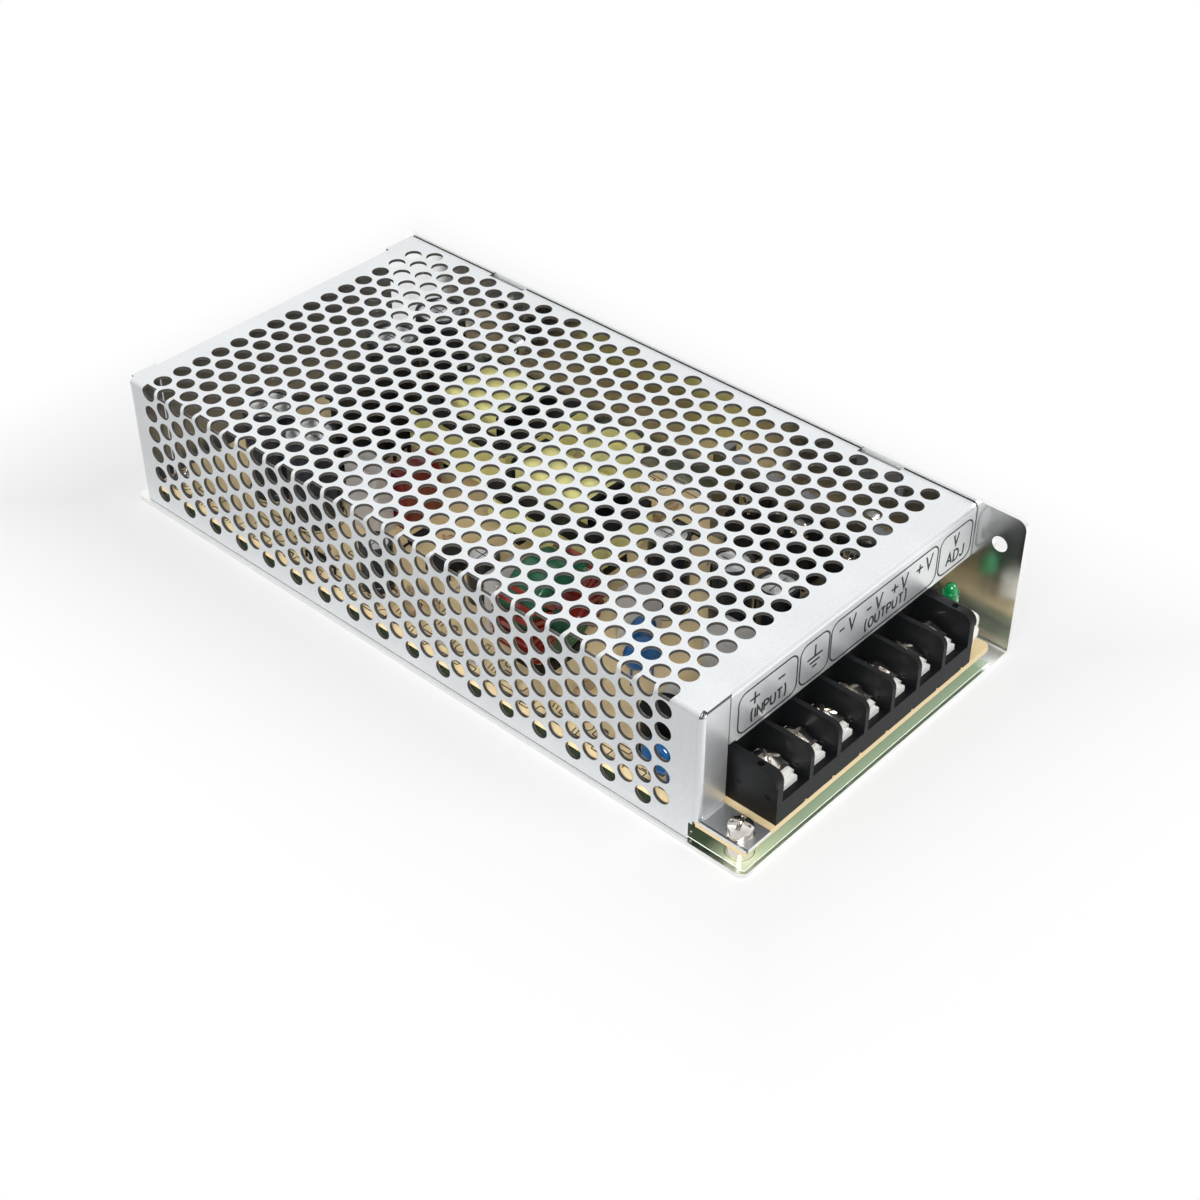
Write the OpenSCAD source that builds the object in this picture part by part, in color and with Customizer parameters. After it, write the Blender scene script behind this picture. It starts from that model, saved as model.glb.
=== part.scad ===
// Mesh case DC power supply: a folded chassis and a folded, punched cover
// round a circuit board, with a seven-way screw terminal block in front.
// X runs across the case, Y along it (terminals at -Y), Z up from the base.

/* [Case] */
// Overall width, across the terminal row
case_w = 98; // [97:1:120]
// Overall length, along the base
case_l = 199; // [196:1:240]
// Overall height, to the top of the chassis wall
case_h = 38; // [38:0.5:50]
// Sheet thickness of the chassis
chassis_t = 1.2; // [1:0.1:1.4]
// Outside radius of the fold between base and wall
chassis_fold_r = 2; // [1.6:0.1:3]
// Radius of the base's free corners
base_corner_r = 2; // [1:0.5:6]
// Radius of the wall's upper corners
wall_corner_r = 2.5; // [1:0.5:5]

/* [Chassis fixings] */
// Distance between the tapped base holes, along the case
base_hole_pitch_y = 117; // [80:1:140]
// Distance between the tapped base holes, across the case
base_hole_pitch_x = 50; // [30:1:60]
// Distance between the tapped wall holes, along the case
wall_hole_pitch_y = 117; // [80:1:140]
// Height of the tapped wall holes above the base's underside
wall_hole_z = 18; // [14:0.5:22]
// Core diameter of a tapped fixing hole (M4)
tapped_d = 3.3; // [3:0.1:3.6]
// Outside diameter of the drawn collar round a tapped hole
collar_d = 5.4; // [4.8:0.1:6.5]
// How far a collar stands in from the sheet
collar_h = 1.2; // [0.8:0.1:1.6]
// Diameter of the clear hole in the wall's bare front end
ear_hole_d = 4; // [3:0.1:5]
// Clear hole's centre, back from the front edge
ear_hole_in = 6.1; // [4:0.1:8]
// Clear hole's centre, down from the wall's top
ear_hole_down = 8.7; // [6:0.1:14]

/* [Cover] */
// Sheet thickness of the cover
cover_t = 0.8; // [0.6:0.1:1]
// Outside radius of the cover's folds
cover_fold_r = 1.5; // [1.2:0.1:2]
// Cover's top below the chassis wall's top
cover_drop = 0.8; // [0.2:0.1:2]
// Cover's side in from the base's edge
cover_inset = 0.8; // [0.4:0.1:1.5]
// Base left bare in front of the cover
bare_front = 12.9; // [12.5:0.1:16]
// Base left bare behind the cover
bare_back = 3; // [1:0.1:6]
// Gap between the cover's edge and the chassis wall
wall_gap = 0.3; // [0.1:0.1:0.6]
// Gap under the cover's side
foot_gap = 0.1; // [0.05:0.05:0.3]
// Height of the front flange that carries the markings
flange_h = 14.5; // [10:0.1:15]
// Width of the strip that the side panel turns round each corner
strip_w = 8.7; // [8:0.1:11]
// Slit between a strip and the flange beside it
slit = 0.4; // [0.2:0.1:1]
// Length of the foot tab, forward of the strip
foot_l = 12.7; // [12:0.1:12.8]
// Side panel's lower front end, back from the strip
side_step = 2.6; // [2.2:0.1:4]
// Space left open between the back flange and the wall
back_opening = 9.5; // [6:0.1:14]
// Relief cut at the ends of the top fold
corner_relief = 0.9; // [0.4:0.1:1.4]
// Lugs on the cover's free edge, distance apart
lug_pitch = 120; // [60:1:140]
// Width of a lug
lug_w = 12; // [8:1:20]
// Depth of a lug below the cover's top
lug_h = 9; // [7:0.5:12]

/* [Perforation] */
// Diameter of a punched hole
hole_d = 4.5; // [3:0.1:4.6]
// Distance between holes in a row, across the case
hole_pitch = 6; // [5.8:0.1:8]
// Distance between rows, along the case
row_pitch = 5; // [4.9:0.1:7]
// First hole of the back row, in from the top fold's outer edge
first_hole = 4.7; // [4.2:0.1:5]
// Back row, in from the cover's back face
back_margin = 8; // [6:0.1:12]
// Least plain margin in front of the last row
front_margin = 7.5; // [6:0.1:12]
// Least plain metal between a hole and a free edge
edge_margin = 1.5; // [1:0.1:3]

/* [Circuit board] */
// Board thickness
board_t = 1.6; // [1.2:0.1:2]
// Height of the standoffs under the board
standoff_h = 4.2; // [3.4:0.1:6]
// Outside diameter of a standoff
standoff_d = 6.2; // [5:0.1:6.4]
// Board's front edge, back from the base's front edge
board_front = 0.9; // [0.4:0.1:1.2]
// Board's back edge, in from the cover's back face
board_back = 4; // [2:0.1:8]
// Board's side in from the inside of the cover's side
board_side_gap = 0.3; // [0.2:0.1:1]
// Space between the board and the chassis wall
board_wall_gap = 6.8; // [4:0.1:8]
// Corner chamfer at the board's front, beside the wall
board_chamfer = 0.8; // [0.5:0.1:4]
// Thickness of the clear insulating sheet
film_t = 0.3; // [0.2:0.05:0.5]

/* [Terminal block] */
// Distance between neighbouring terminals
pitch = 9.5; // [9.5:0.1:9.8]
// Number of terminals
ways = 7; // [7:1:7]
// Thickness of a wall between two terminals
bay_wall_t = 1.3; // [1:0.1:1.8]
// Thickness of the block's end walls
end_wall_t = 1.8; // [1.4:0.1:2.2]
// Depth of the rim along the top of each end wall
rim_h = 3.4; // [2:0.1:4]
// How far that rim stands out from the end wall
rim_out = 0.6; // [0.3:0.1:1]
// Extra width of the first and of the last bay
end_bay_extra = 0.7; // [0:0.1:1]
// Block's left end, in from the base's edge
block_in = 11.4; // [11:0.1:12]
// Depth of the block, front to back
block_d = 16.6; // [16:0.1:17]
// Height of the walls above the board
block_h = 14; // [12.5:0.1:15]
// Height of the floor of the bays above the board
floor_h = 5.6; // [5:0.1:6.5]
// Radius of the walls' upper front corners
block_r = 2.6; // [1:0.1:4]
// Thickness of the block's back wall
block_back_t = 2; // [1.5:0.1:3]
// Terminal screw's axis, back from the block's front
screw_in = 8.4; // [8:0.1:8.8]

/* [Terminal hardware] */
// Major diameter of the terminal screws (M3.5)
screw_d = 3.5; // [3:0.1:3.5]
// Diameter of a terminal screw's head
head_d = 6.6; // [6:0.1:7]
// Height of a terminal screw's head
head_h = 2.6; // [2.2:0.1:3]
// Width of the arms of the cross recess in a screw head
recess_w = 1; // [0.7:0.1:1.2]
// Side of the square clamp plate
clamp_s = 7.2; // [6.8:0.1:7.4]
// Thickness of the clamp plate
clamp_t = 1; // [0.8:0.1:1.2]
// Thickness of a terminal plate
plate_t = 0.9; // [0.6:0.1:1]
// Length of a terminal plate, front to back
plate_l = 11.2; // [10.8:0.1:11.8]
// Width of the tongue at a terminal plate's front
tongue_w = 5.4; // [4:0.1:6.4]
// Height of the lip turned down at the tongue's end
lip_h = 1.4; // [1.1:0.1:1.6]
// Radial clearance round a screw's shank
shank_gap = 0.05; // [0.02:0.01:0.08]

/* [Board fixings] */
// Diameter of the small pan head screws (M3)
small_screw_d = 3; // [2.5:0.1:3]
// Head diameter of the small pan head screws
small_head_d = 5.6; // [5:0.1:6]
// Head height of the small pan head screws
small_head_h = 2; // [1.6:0.1:2.4]
// Thickness of a spring washer
washer_t = 0.8; // [0.6:0.1:1]
// Thickness of the plain washer under the foot tab's screw
plain_washer_t = 0.5; // [0.4:0.1:0.8]

/* [Adjuster and lamp] */
// Diameter of the lamp's dome
lamp_d = 3; // [3:0.1:4]
// Height of the lamp's dome top above the board
lamp_top = 12.3; // [9:0.1:14]
// Diameter of the adjuster's foot
trimmer_d = 6.6; // [6:0.1:6.8]
// Length of the pins that hold the adjuster above the board
pin_l = 3; // [2:0.1:5]
// Height of the adjuster's fixed body
trimmer_h = 2.2; // [2:0.1:3]
// Height of the adjuster's turning cap
cap_h = 2; // [1.6:0.1:3]

/* [Large parts on the board] */
// Diameter of the input capacitors
cap_in_d = 13; // [10:0.5:14]
// Height of the input capacitors
cap_in_h = 25; // [16:0.5:26]
// Diameter of the output capacitors
cap_out_d = 10; // [8:0.5:10.5]
// Height of the output capacitors
cap_out_h = 21; // [12:0.5:25]
// Outside diameter of the ring choke's core
ring_d = 24; // [20:0.5:25]
// Bore of the ring choke's core
ring_bore = 12.5; // [11:0.5:14]
// Thickness of the ring choke's core
ring_t = 10; // [8:0.5:11]
// Diameter of the ring choke's wire
wire_d = 1.1; // [0.8:0.1:1.2]
// Turns in each of the ring choke's two windings
ring_turns = 8; // [4:1:8]

/* [Hidden] */
$fn = 48;

// Colours of the finishes
sheet_bright = [0.82, 0.83, 0.84];
sheet_satin = [0.74, 0.77, 0.80];
board_tan = [0.80, 0.66, 0.45];
plastic_black = [0.09, 0.09, 0.10];
nickel = [0.78, 0.76, 0.72];
ferrite = [0.16, 0.16, 0.17];
tape_yellow = [0.88, 0.82, 0.38];

// Faces of the case
left_x = -case_w / 2;
right_x = case_w / 2;
front_y = -case_l / 2;
back_y = case_l / 2;
wall_x = right_x - chassis_t;

// Faces of the cover
cover_x0 = left_x + cover_inset;
cover_x1 = wall_x - wall_gap;
cover_y0 = front_y + bare_front;
cover_y1 = back_y - bare_back;
cover_z1 = case_h - cover_drop;
cover_z0 = chassis_t + foot_gap;
fold_x = cover_x0 + cover_fold_r;
fold_z = cover_z1 - cover_fold_r;
strip_x1 = cover_x0 + strip_w;
flange_x0 = strip_x1 + slit;
back_flange_x1 = cover_x1 - back_opening;
lug_ys = [-lug_pitch / 2, lug_pitch / 2];
lug_screw_z = cover_z1 - lug_h / 2 - 0.8;
// How far a fold's section runs on into the flat sheet
fold_lap = 0.2;
// Width and height cut from the front flange's lower corner, beside the strip
flange_notch = [2.3, 0.6];

// Rows and holes of the perforation, counted from the back row
hole_r = hole_d / 2;
row_y0 = cover_y1 - back_margin;
rows = floor((row_y0 - cover_y0 - front_margin) / row_pitch) + 1;
// Start of a row, in from the fold's outer edge: odd rows sit half a pitch over
function row_start(k) = first_hole - (k % 2) * hole_pitch / 2;
function row_y(k) = row_y0 - k * row_pitch;
// Last place across the top, and lowest place down the side, that a hole may take
top_reach = cover_x1 - cover_x0 - max(edge_margin, cover_fold_r + fold_lap) - hole_r;
side_reach = cover_z1 - cover_z0 - edge_margin - hole_r;

// Levels of the board
board_z0 = chassis_t + standoff_h;
board_z1 = board_z0 + board_t;
board_x0 = cover_x0 + cover_t + board_side_gap;
board_x1 = wall_x - board_wall_gap;
board_y0 = front_y + board_front;
board_y1 = cover_y1 - board_back;
// Level of the side panel's lower front end, which hangs past the board's upper face
side_step_z = board_z1 - 0.9;
// Board and film widen to the left in front of the cover, under the foot tab
ear_x0 = cover_x0 + 0.6;
ear_y1 = cover_y0 + cover_fold_r - 0.3;
film_z0 = chassis_t + collar_h;
film_ear_x0 = left_x + 0.4;
film_ear_y1 = cover_y0 + side_step - 0.3;
film_y0 = front_y + 0.1;

// Foot tab of the cover, on the board's front left corner, and its screw
foot_x0 = cover_x0 + 0.2;
foot_x1 = strip_x1 - 0.6;
foot_y0 = cover_y0 - foot_l;
foot_x = foot_x0 + 3.3;
foot_y = foot_y0 + 4.3;

// Terminal block
bay_w = pitch - bay_wall_t;
block_x0 = left_x + block_in;
block_w = ways * pitch - bay_wall_t + 2 * (end_wall_t + end_bay_extra);
block_x1 = block_x0 + block_w;
block_y0 = board_y0;
block_y1 = block_y0 + block_d;
floor_z = board_z1 + floor_h;
block_z1 = board_z1 + block_h;
screw_y = block_y0 + screw_in;
plate_z1 = floor_z + plate_t;
shank_r = screw_d / 2 - 0.1;
shank_reach = 4;
trough_w = 1.5;
front_lip_t = 0.6;
tongue_l = 1.6;
function bay_x(n) = block_x0 + end_wall_t + end_bay_extra + (n - 0.5) * pitch - bay_wall_t / 2;
// Width of a bay: the first and the last are wider on their outer side
function bay_x0(n) = bay_x(n) - bay_w / 2 - (n == 1 ? end_bay_extra : 0);
function bay_x1(n) = bay_x(n) + bay_w / 2 + (n == ways ? end_bay_extra : 0);

// Lamp and adjuster, beside the block's right end
lamp_x = block_x1 + 7.5;
lamp_y = cover_y0 - 0.6;
lamp_rim_z = lamp_top - 4.9;
lamp_rim_t = 2.5;
lead_pitch = 2.54;
trimmer_x = block_x1 + rim_out + 1 + trimmer_d / 2;
trimmer_y = board_y0 + 2 + trimmer_d / 2;
trimmer_z = board_z1 + pin_l;
rotor_d = 3.6;
rotor_in = 1.2;

// Places of the parts: x from the middle of the case, y from the back of the terminal block.
// They are drawn for a board that reaches drawn_l behind the block, and spread with its length.
drawn_l = 174.5;
spread = (board_y1 - block_y1) / drawn_l;
function on_board(p) = [p.x, block_y1 + p.y * spread, board_z1];

// Ring choke
ring_at = on_board([-29, 55.5]);
ring_base_t = 1.6;
ring_z = board_z1 + ring_base_t + ring_d / 2 + wire_d;

// Output heatsink's cold face and front end, its size and how far its ends turn out
sink_x = 30;
sink_y = block_y1 + 5.5 * spread;
sink_size = [2.2, 52, 24.5];
sink_foot = 6;

// Standoffs: the first takes the foot tab's screw, the others hold the board alone
standoff_in = 5;
standoff_at = [
    [foot_x, foot_y],
    [board_x0 + standoff_in, board_y1 - standoff_in],
    [board_x1 - standoff_in, board_y1 - standoff_in],
    [board_x1 - 4, sink_y + sink_size.y + standoff_d / 2]
];

// Flat shapes

// Rectangle with round corners, centred
module round_rect(size, r) {
    square([size.x - 2 * r, size.y], center = true);
    square([size.x, size.y - 2 * r], center = true);
    for (sx = [-1, 1], sy = [-1, 1])
        translate([sx * (size.x / 2 - r), sy * (size.y / 2 - r)]) circle(r);
}

// Section of a fold: a quarter of a ring, in the first quadrant, whose ends run on a little
// way straight, into the flat sheet on either side
module fold_section(r, t) {
    difference() {
        intersection() {
            circle(r);
            square(r);
        }
        circle(r - t);
    }
    translate([-fold_lap, r - t]) square([2 * fold_lap, t]);
    translate([r - t, -fold_lap]) square([t, 2 * fold_lap]);
}

// What a round corner takes off a square one, at the origin, towards +X +Y
module corner_cut(r) {
    difference() {
        translate([-1, -1]) square(r + 1);
        translate([r, r]) circle(r);
        translate([r, -2]) square(r + 4);
        translate([-2, r]) square(r + 4);
    }
}

// Stand a flat shape up: its x runs along Y, its y up, and it gains a length along X
module along_x(len) {
    rotate([90, 0, 90]) linear_extrude(len) children();
}

// Stand a flat shape up: its x runs along X, its y up, and it gains a length along -Y
module along_y(len) {
    rotate([90, 0, 0]) linear_extrude(len) children();
}

// Chassis

module chassis_base() {
    linear_extrude(chassis_t) difference() {
        translate([left_x, front_y]) square([case_w - chassis_fold_r, case_l]);
        translate([left_x, front_y]) corner_cut(base_corner_r);
        translate([left_x, back_y]) mirror([0, 1]) corner_cut(base_corner_r);
    }
    for (x = [-1, 1], y = [-1, 1])
        translate([x * base_hole_pitch_x / 2, y * base_hole_pitch_y / 2, 0])
            cylinder(d = collar_d, h = chassis_t + collar_h);
}

module chassis_wall() {
    translate([wall_x, 0, 0]) along_x(chassis_t) difference() {
        translate([front_y, chassis_fold_r]) square([case_l, case_h - chassis_fold_r]);
        translate([front_y, case_h]) mirror([0, 1]) corner_cut(wall_corner_r);
        translate([back_y, case_h]) rotate(180) corner_cut(wall_corner_r);
    }
    for (y = [-1, 1])
        translate([wall_x - collar_h, y * wall_hole_pitch_y / 2, wall_hole_z])
            rotate([0, 90, 0]) cylinder(d = collar_d, h = chassis_t + collar_h);
}

// Flat head screw's cone, which the wall's countersinks share: wide end at x = 0, going in
module countersink(gap) {
    rotate([0, -90, 0]) {
        cylinder(r1 = small_screw_d / 2 + chassis_t + gap, r2 = small_screw_d / 2 + gap, h = chassis_t);
    }
}

module chassis() {
    color(sheet_bright) difference() {
        union() {
            chassis_base();
            chassis_wall();
            translate([right_x - chassis_fold_r, back_y, chassis_fold_r])
                along_y(case_l) mirror([0, 1]) fold_section(chassis_fold_r, chassis_t);
        }
        for (x = [-1, 1], y = [-1, 1])
            translate([x * base_hole_pitch_x / 2, y * base_hole_pitch_y / 2, -1])
                cylinder(d = tapped_d, h = chassis_t + collar_h + 2);
        for (y = [-1, 1])
            translate([wall_x - collar_h - 1, y * wall_hole_pitch_y / 2, wall_hole_z])
                rotate([0, 90, 0]) cylinder(d = tapped_d, h = chassis_t + collar_h + 2);
        translate([wall_x - 1, front_y + ear_hole_in, case_h - ear_hole_down])
            rotate([0, 90, 0]) cylinder(d = ear_hole_d, h = chassis_t + 2);
        for (y = lug_ys)
            translate([right_x, y, lug_screw_z]) countersink(shank_gap);
    }
}

// Cover

// Holes across the top, apart from the first of an odd row, which the fold cuts
module top_holes() {
    for (k = [0 : rows - 1])
        for (s = [row_start(k) + (k % 2) * hole_pitch : hole_pitch : top_reach])
            translate([cover_x0 + s, row_y(k)]) circle(hole_r);
}

// Holes down the side, below the one that lies in the fold
module side_holes() {
    for (k = [0 : rows - 1])
        for (s = [(2 - k % 2) * hole_pitch - row_start(k) : hole_pitch : side_reach])
            translate([row_y(k), cover_z1 - s]) circle(hole_r);
}

// Holes that lie across the fold between top and side
module fold_holes() {
    for (k = [0 : 2 : rows - 1])
        translate([cover_x0 - 1, row_y(k), cover_z1 - hole_pitch + row_start(k)])
            rotate([0, 90, 0]) cylinder(r = hole_r, h = cover_fold_r + 1);
    for (k = [1 : 2 : rows - 1])
        translate([cover_x0 + row_start(k), row_y(k), fold_z])
            cylinder(r = hole_r, h = cover_fold_r + 1);
}

module cover_top() {
    translate([0, 0, cover_z1 - cover_t]) linear_extrude(cover_t) difference() {
        translate([fold_x, cover_y0]) square([cover_x1 - fold_x, cover_y1 - cover_y0]);
        translate([flange_x0, cover_y0 - 1]) square([case_w, cover_fold_r + 1]);
        translate([flange_x0, cover_y1 - cover_fold_r])
            square([back_flange_x1 - flange_x0, cover_fold_r + 1]);
        // the back strip's end shows beside the top's edge
        translate([fold_x - 1, cover_y1 - cover_t - foot_gap])
            square([flange_x0 - fold_x + 1, cover_t + 1]);
        for (y = lug_ys)
            translate([cover_x1 - cover_fold_r, y - lug_w / 2]) square([cover_fold_r + 1, lug_w]);
        top_holes();
    }
}

module cover_side() {
    y0 = cover_y0 + cover_fold_r;
    translate([cover_x0, 0, 0]) along_x(cover_t) difference() {
        translate([y0, cover_z0])
            square([cover_y1 - cover_fold_r - y0, fold_z - cover_z0]);
        translate([cover_y0, 0]) square([side_step, side_step_z]);
        side_holes();
    }
}

// Strip folded from the side panel round a corner: it stands from z0 to z1, and its fold from fold_z0
module corner_strip(fold_z0, z0, z1) {
    translate([fold_x, 0, z0]) cube([strip_w - cover_fold_r, cover_t, z1 - z0]);
    translate([fold_x, cover_fold_r, fold_z0]) rotate(180)
        linear_extrude(fold_z - fold_z0) fold_section(cover_fold_r, cover_t);
}

// Foot tab, turned forward from the front strip to lie on the board
module foot_tab() {
    inner_r = cover_fold_r - cover_t;
    translate([fold_x, cover_y0 - inner_r, board_z1 + cover_fold_r])
        along_x(foot_x1 - fold_x) mirror([0, 1]) fold_section(cover_fold_r, cover_t);
    translate([0, 0, board_z1]) linear_extrude(cover_t) {
        translate([fold_x, foot_y0])
            square([foot_x1 - fold_x, foot_l - inner_r]);
        // left of the fold the tab runs on, up to the round corner behind it
        translate([foot_x0, foot_y0])
            square([fold_x - foot_x0 + fold_lap, foot_l - foot_gap]);
    }
}

// Flange along the front or the back, hanging from the top, face at y = 0
module flange(x0, x1, depth) {
    translate([x0, cover_fold_r, fold_z])
        along_x(x1 - x0) mirror([1, 0]) fold_section(cover_fold_r, cover_t);
    translate([x0, 0, cover_z1 - depth]) cube([x1 - x0, cover_t, depth - cover_fold_r]);
}

// Lug folded down from the cover's free edge, inside the wall
module lug() {
    translate([cover_x1 - cover_fold_r, lug_w / 2, fold_z])
        along_y(lug_w) fold_section(cover_fold_r, cover_t);
    translate([cover_x1 - cover_t, -lug_w / 2, cover_z1 - lug_h])
        cube([cover_t, lug_w, lug_h - cover_fold_r]);
}

module cover() {
    color(sheet_satin) difference() {
        union() {
            cover_top();
            cover_side();
            translate([fold_x, cover_y1 - corner_relief, fold_z])
                along_y(cover_y1 - cover_y0 - 2 * corner_relief)
                mirror([1, 0]) fold_section(cover_fold_r, cover_t);
            translate([0, cover_y0, 0])
                corner_strip(board_z1 + foot_gap, board_z1 + cover_fold_r, cover_z1 - cover_t - foot_gap);
            translate([0, cover_y1, 0]) mirror([0, 1, 0])
                corner_strip(cover_z0, cover_z0, cover_z1 - foot_gap);
            foot_tab();
            translate([0, cover_y0, 0]) flange(flange_x0, cover_x1, flange_h);
            translate([0, cover_y1, 0]) mirror([0, 1, 0])
                flange(flange_x0, back_flange_x1, cover_z1 - cover_z0);
            for (y = lug_ys) translate([0, y, 0]) lug();
        }
        fold_holes();
        translate([foot_x, foot_y, board_z1 - 1]) cylinder(d = small_screw_d + 0.4, h = cover_t + 2);
        translate([flange_x0 - slit / 2, cover_y0 - 1, cover_z1 - flange_h - 1])
            cube([flange_notch.x + slit / 2, cover_t + 2, flange_notch.y + 1]);
        for (y = lug_ys)
            translate([cover_x1 - cover_t - 1, y, lug_screw_z])
                rotate([0, 90, 0]) cylinder(r = small_screw_d / 2 - 0.2, h = cover_t + 2);
    }
}

// Countersunk screws through the wall into the cover's lugs
module cover_screws() {
    color(nickel) for (y = lug_ys) translate([right_x, y, lug_screw_z]) difference() {
        union() {
            countersink(0);
            rotate([0, -90, 0]) cylinder(r = small_screw_d / 2 - 0.2 - shank_gap, h = chassis_t + 3.4);
        }
        rotate([0, 90, 0]) cross_recess(2.8, 0.7, 0.7);
    }
}

// Board and what holds it

// Cross recess, cut down from z = 0: two arms of a given span, width and depth, and a deeper middle
module cross_recess(span, w, depth) {
    for (a = [0, 90]) rotate(a) cube([span, w, 2 * depth], center = true);
    cylinder(d = 1.5 * w, h = 3 * depth, center = true);
}

module board_outline() {
    difference() {
        union() {
            translate([board_x0, board_y0]) square([board_x1 - board_x0, board_y1 - board_y0]);
            translate([ear_x0, board_y0]) square([board_x0 - ear_x0 + 1, ear_y1 - board_y0]);
        }
        translate([board_x1, board_y0]) rotate(45) square(board_chamfer * sqrt(2), center = true);
    }
}

module board() {
    color(board_tan) translate([0, 0, board_z0]) linear_extrude(board_t) difference() {
        board_outline();
        for (p = standoff_at) translate(p) circle(d = small_screw_d + 0.4);
    }
}

module insulating_sheet() {
    side_in = 1;
    back_in = 0.9;
    color([0.85, 0.92, 0.88, 0.5]) translate([0, 0, film_z0]) linear_extrude(film_t) difference() {
        union() {
            translate([board_x0, film_y0])
                square([board_x1 - side_in - board_x0, board_y1 - back_in - film_y0]);
            translate([film_ear_x0, film_y0])
                square([board_x0 - film_ear_x0 + 1, film_ear_y1 - film_y0]);
        }
        for (p = standoff_at) translate(p) circle(d = standoff_d + 0.3);
    }
}

module standoffs() {
    color(nickel) for (p = standoff_at) translate([p.x, p.y, chassis_t]) difference() {
        cylinder(d = standoff_d, h = standoff_h);
        translate([0, 0, -1]) cylinder(d = small_screw_d - 0.4, h = standoff_h + 2);
    }
}

// Pan head: a low drum under a shallow dome
module pan_head(d, h) {
    dome_r = d * 0.8;
    intersection() {
        cylinder(d = d, h = h);
        translate([0, 0, h - dome_r]) sphere(dome_r);
    }
}

// Small screw whose head rests at z = 0; its shank reaches down by a given length
module pan_screw(reach) {
    difference() {
        union() {
            pan_head(small_head_d, small_head_h);
            translate([0, 0, -reach]) cylinder(d = small_screw_d - 0.5, h = reach + 0.1);
        }
        translate([0, 0, small_head_h]) rotate(20) cross_recess(small_head_d - 1.2, recess_w, 0.7);
    }
}

module spring_washer() {
    difference() {
        cylinder(d = small_head_d, h = washer_t);
        translate([0, 0, -1]) cylinder(d = small_screw_d + 0.3, h = washer_t + 2);
        rotate(-45) translate([0, -0.15, -1]) cube([small_head_d, 0.3, washer_t + 2]);
    }
}

// Plain washer under the foot tab's screw
module plain_washer() {
    color(nickel) translate([foot_x, foot_y, board_z1 + cover_t]) difference() {
        cylinder(d = small_head_d + 0.4, h = plain_washer_t);
        translate([0, 0, -1]) cylinder(d = small_screw_d + 0.3, h = plain_washer_t + 2);
    }
}

// Height of the face that a board screw's spring washer rests on
function seat_z(n) = board_z1 + (n == 0 ? cover_t + plain_washer_t : 0);

module pan_screws() {
    // the standoffs' screws stop just above the base, and the heatsink's just past it
    end_gap = 0.3;
    color(nickel) {
        for (n = [0 : len(standoff_at) - 1])
            translate([standoff_at[n].x, standoff_at[n].y, seat_z(n) + washer_t])
                pan_screw(seat_z(n) + washer_t - chassis_t - end_gap);
        for (y = rectifier_ys) translate([sink_x - case_tab_t, y, rectifier_hole_z]) rotate([0, -90, 0])
            pan_screw(case_tab_t + sink_size.x + 0.5);
    }
}

module spring_washers() {
    color(nickel) for (n = [0 : len(standoff_at) - 1])
        translate([standoff_at[n].x, standoff_at[n].y, seat_z(n)]) spring_washer();
}

// Terminal block

// Side view of a wall, from the board up, with its upper front corner round
module wall_profile() {
    difference() {
        translate([block_y0, board_z1]) square([block_d, block_h]);
        translate([block_y0, block_z1]) mirror([0, 1]) corner_cut(block_r);
    }
}

// Side view of the rim along the top of an end wall
module rim_profile() {
    intersection() {
        wall_profile();
        translate([block_y0, block_z1 - rim_h]) square([block_d, rim_h]);
    }
}

module terminal_block() {
    top_hole_d = 1.6;
    mark_d = 1.6;
    notch_w = 1;
    color(plastic_black) difference() {
        union() {
            translate([block_x0, block_y0, board_z1]) cube([block_w, block_d, floor_h]);
            translate([block_x0, block_y1 - block_back_t, board_z1]) cube([block_w, block_back_t, block_h]);
            translate([block_x0, 0, 0]) along_x(end_wall_t) wall_profile();
            translate([block_x1 - end_wall_t, 0, 0]) along_x(end_wall_t) wall_profile();
            for (x = [block_x0 - rim_out, block_x1 - end_wall_t / 2])
                translate([x, 0, 0]) along_x(rim_out + end_wall_t / 2) rim_profile();
            for (n = [1 : ways - 1])
                translate([bay_x(n) + bay_w / 2, 0, 0]) along_x(bay_wall_t) wall_profile();
        }
        // wells for the screws' shanks
        for (n = [1 : ways])
            translate([bay_x(n), screw_y, floor_z - shank_reach]) cylinder(r = shank_r + 0.3, h = shank_reach + 1);
        // the bays' floors drop behind a thin front lip, for the terminal plates' own lips
        for (n = [1 : ways])
            translate([bay_x0(n), block_y0 + front_lip_t, plate_z1 - lip_h - 0.1])
                cube([bay_x1(n) - bay_x0(n), trough_w + plate_t, block_h]);
        // blind holes in the tops of the end walls
        for (x = [block_x0 + (end_wall_t - rim_out) / 2, block_x1 - (end_wall_t - rim_out) / 2])
            translate([x, block_y0 + 5.2, block_z1 - 2]) cylinder(d = top_hole_d, h = 3);
        // shallow marks of the mould's pins, in the end faces and in the bays
        for (x = [block_x0, block_x1], y = [block_y0 + 2.4, block_y0 + 9.9])
            translate([x, y, board_z1 + 6.6]) rotate([0, 90, 0]) cylinder(d = mark_d, h = 0.5, center = true);
        for (n = [1 : ways - 1])
            translate([bay_x1(n), block_y0 + 3.3, floor_z + 2.2])
                rotate([0, 90, 0]) cylinder(d = 1, h = 0.5, center = true);
        // a small notch under the front of each bay
        for (n = [1 : ways])
            translate([bay_x(n) + bay_w / 2 - notch_w, block_y0 - 1, board_z1 - 1]) cube([notch_w, 2.2, 1.5]);
    }
}

// Outline of a terminal plate: as wide as the clamp, with a narrower tongue in front
module plate_outline() {
    front = -screw_in + front_lip_t + trough_w;
    translate([-clamp_s / 2, front + tongue_l]) square([clamp_s, plate_l - tongue_l]);
    translate([-tongue_w / 2, front]) square([tongue_w, tongue_l + 0.1]);
}

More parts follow.
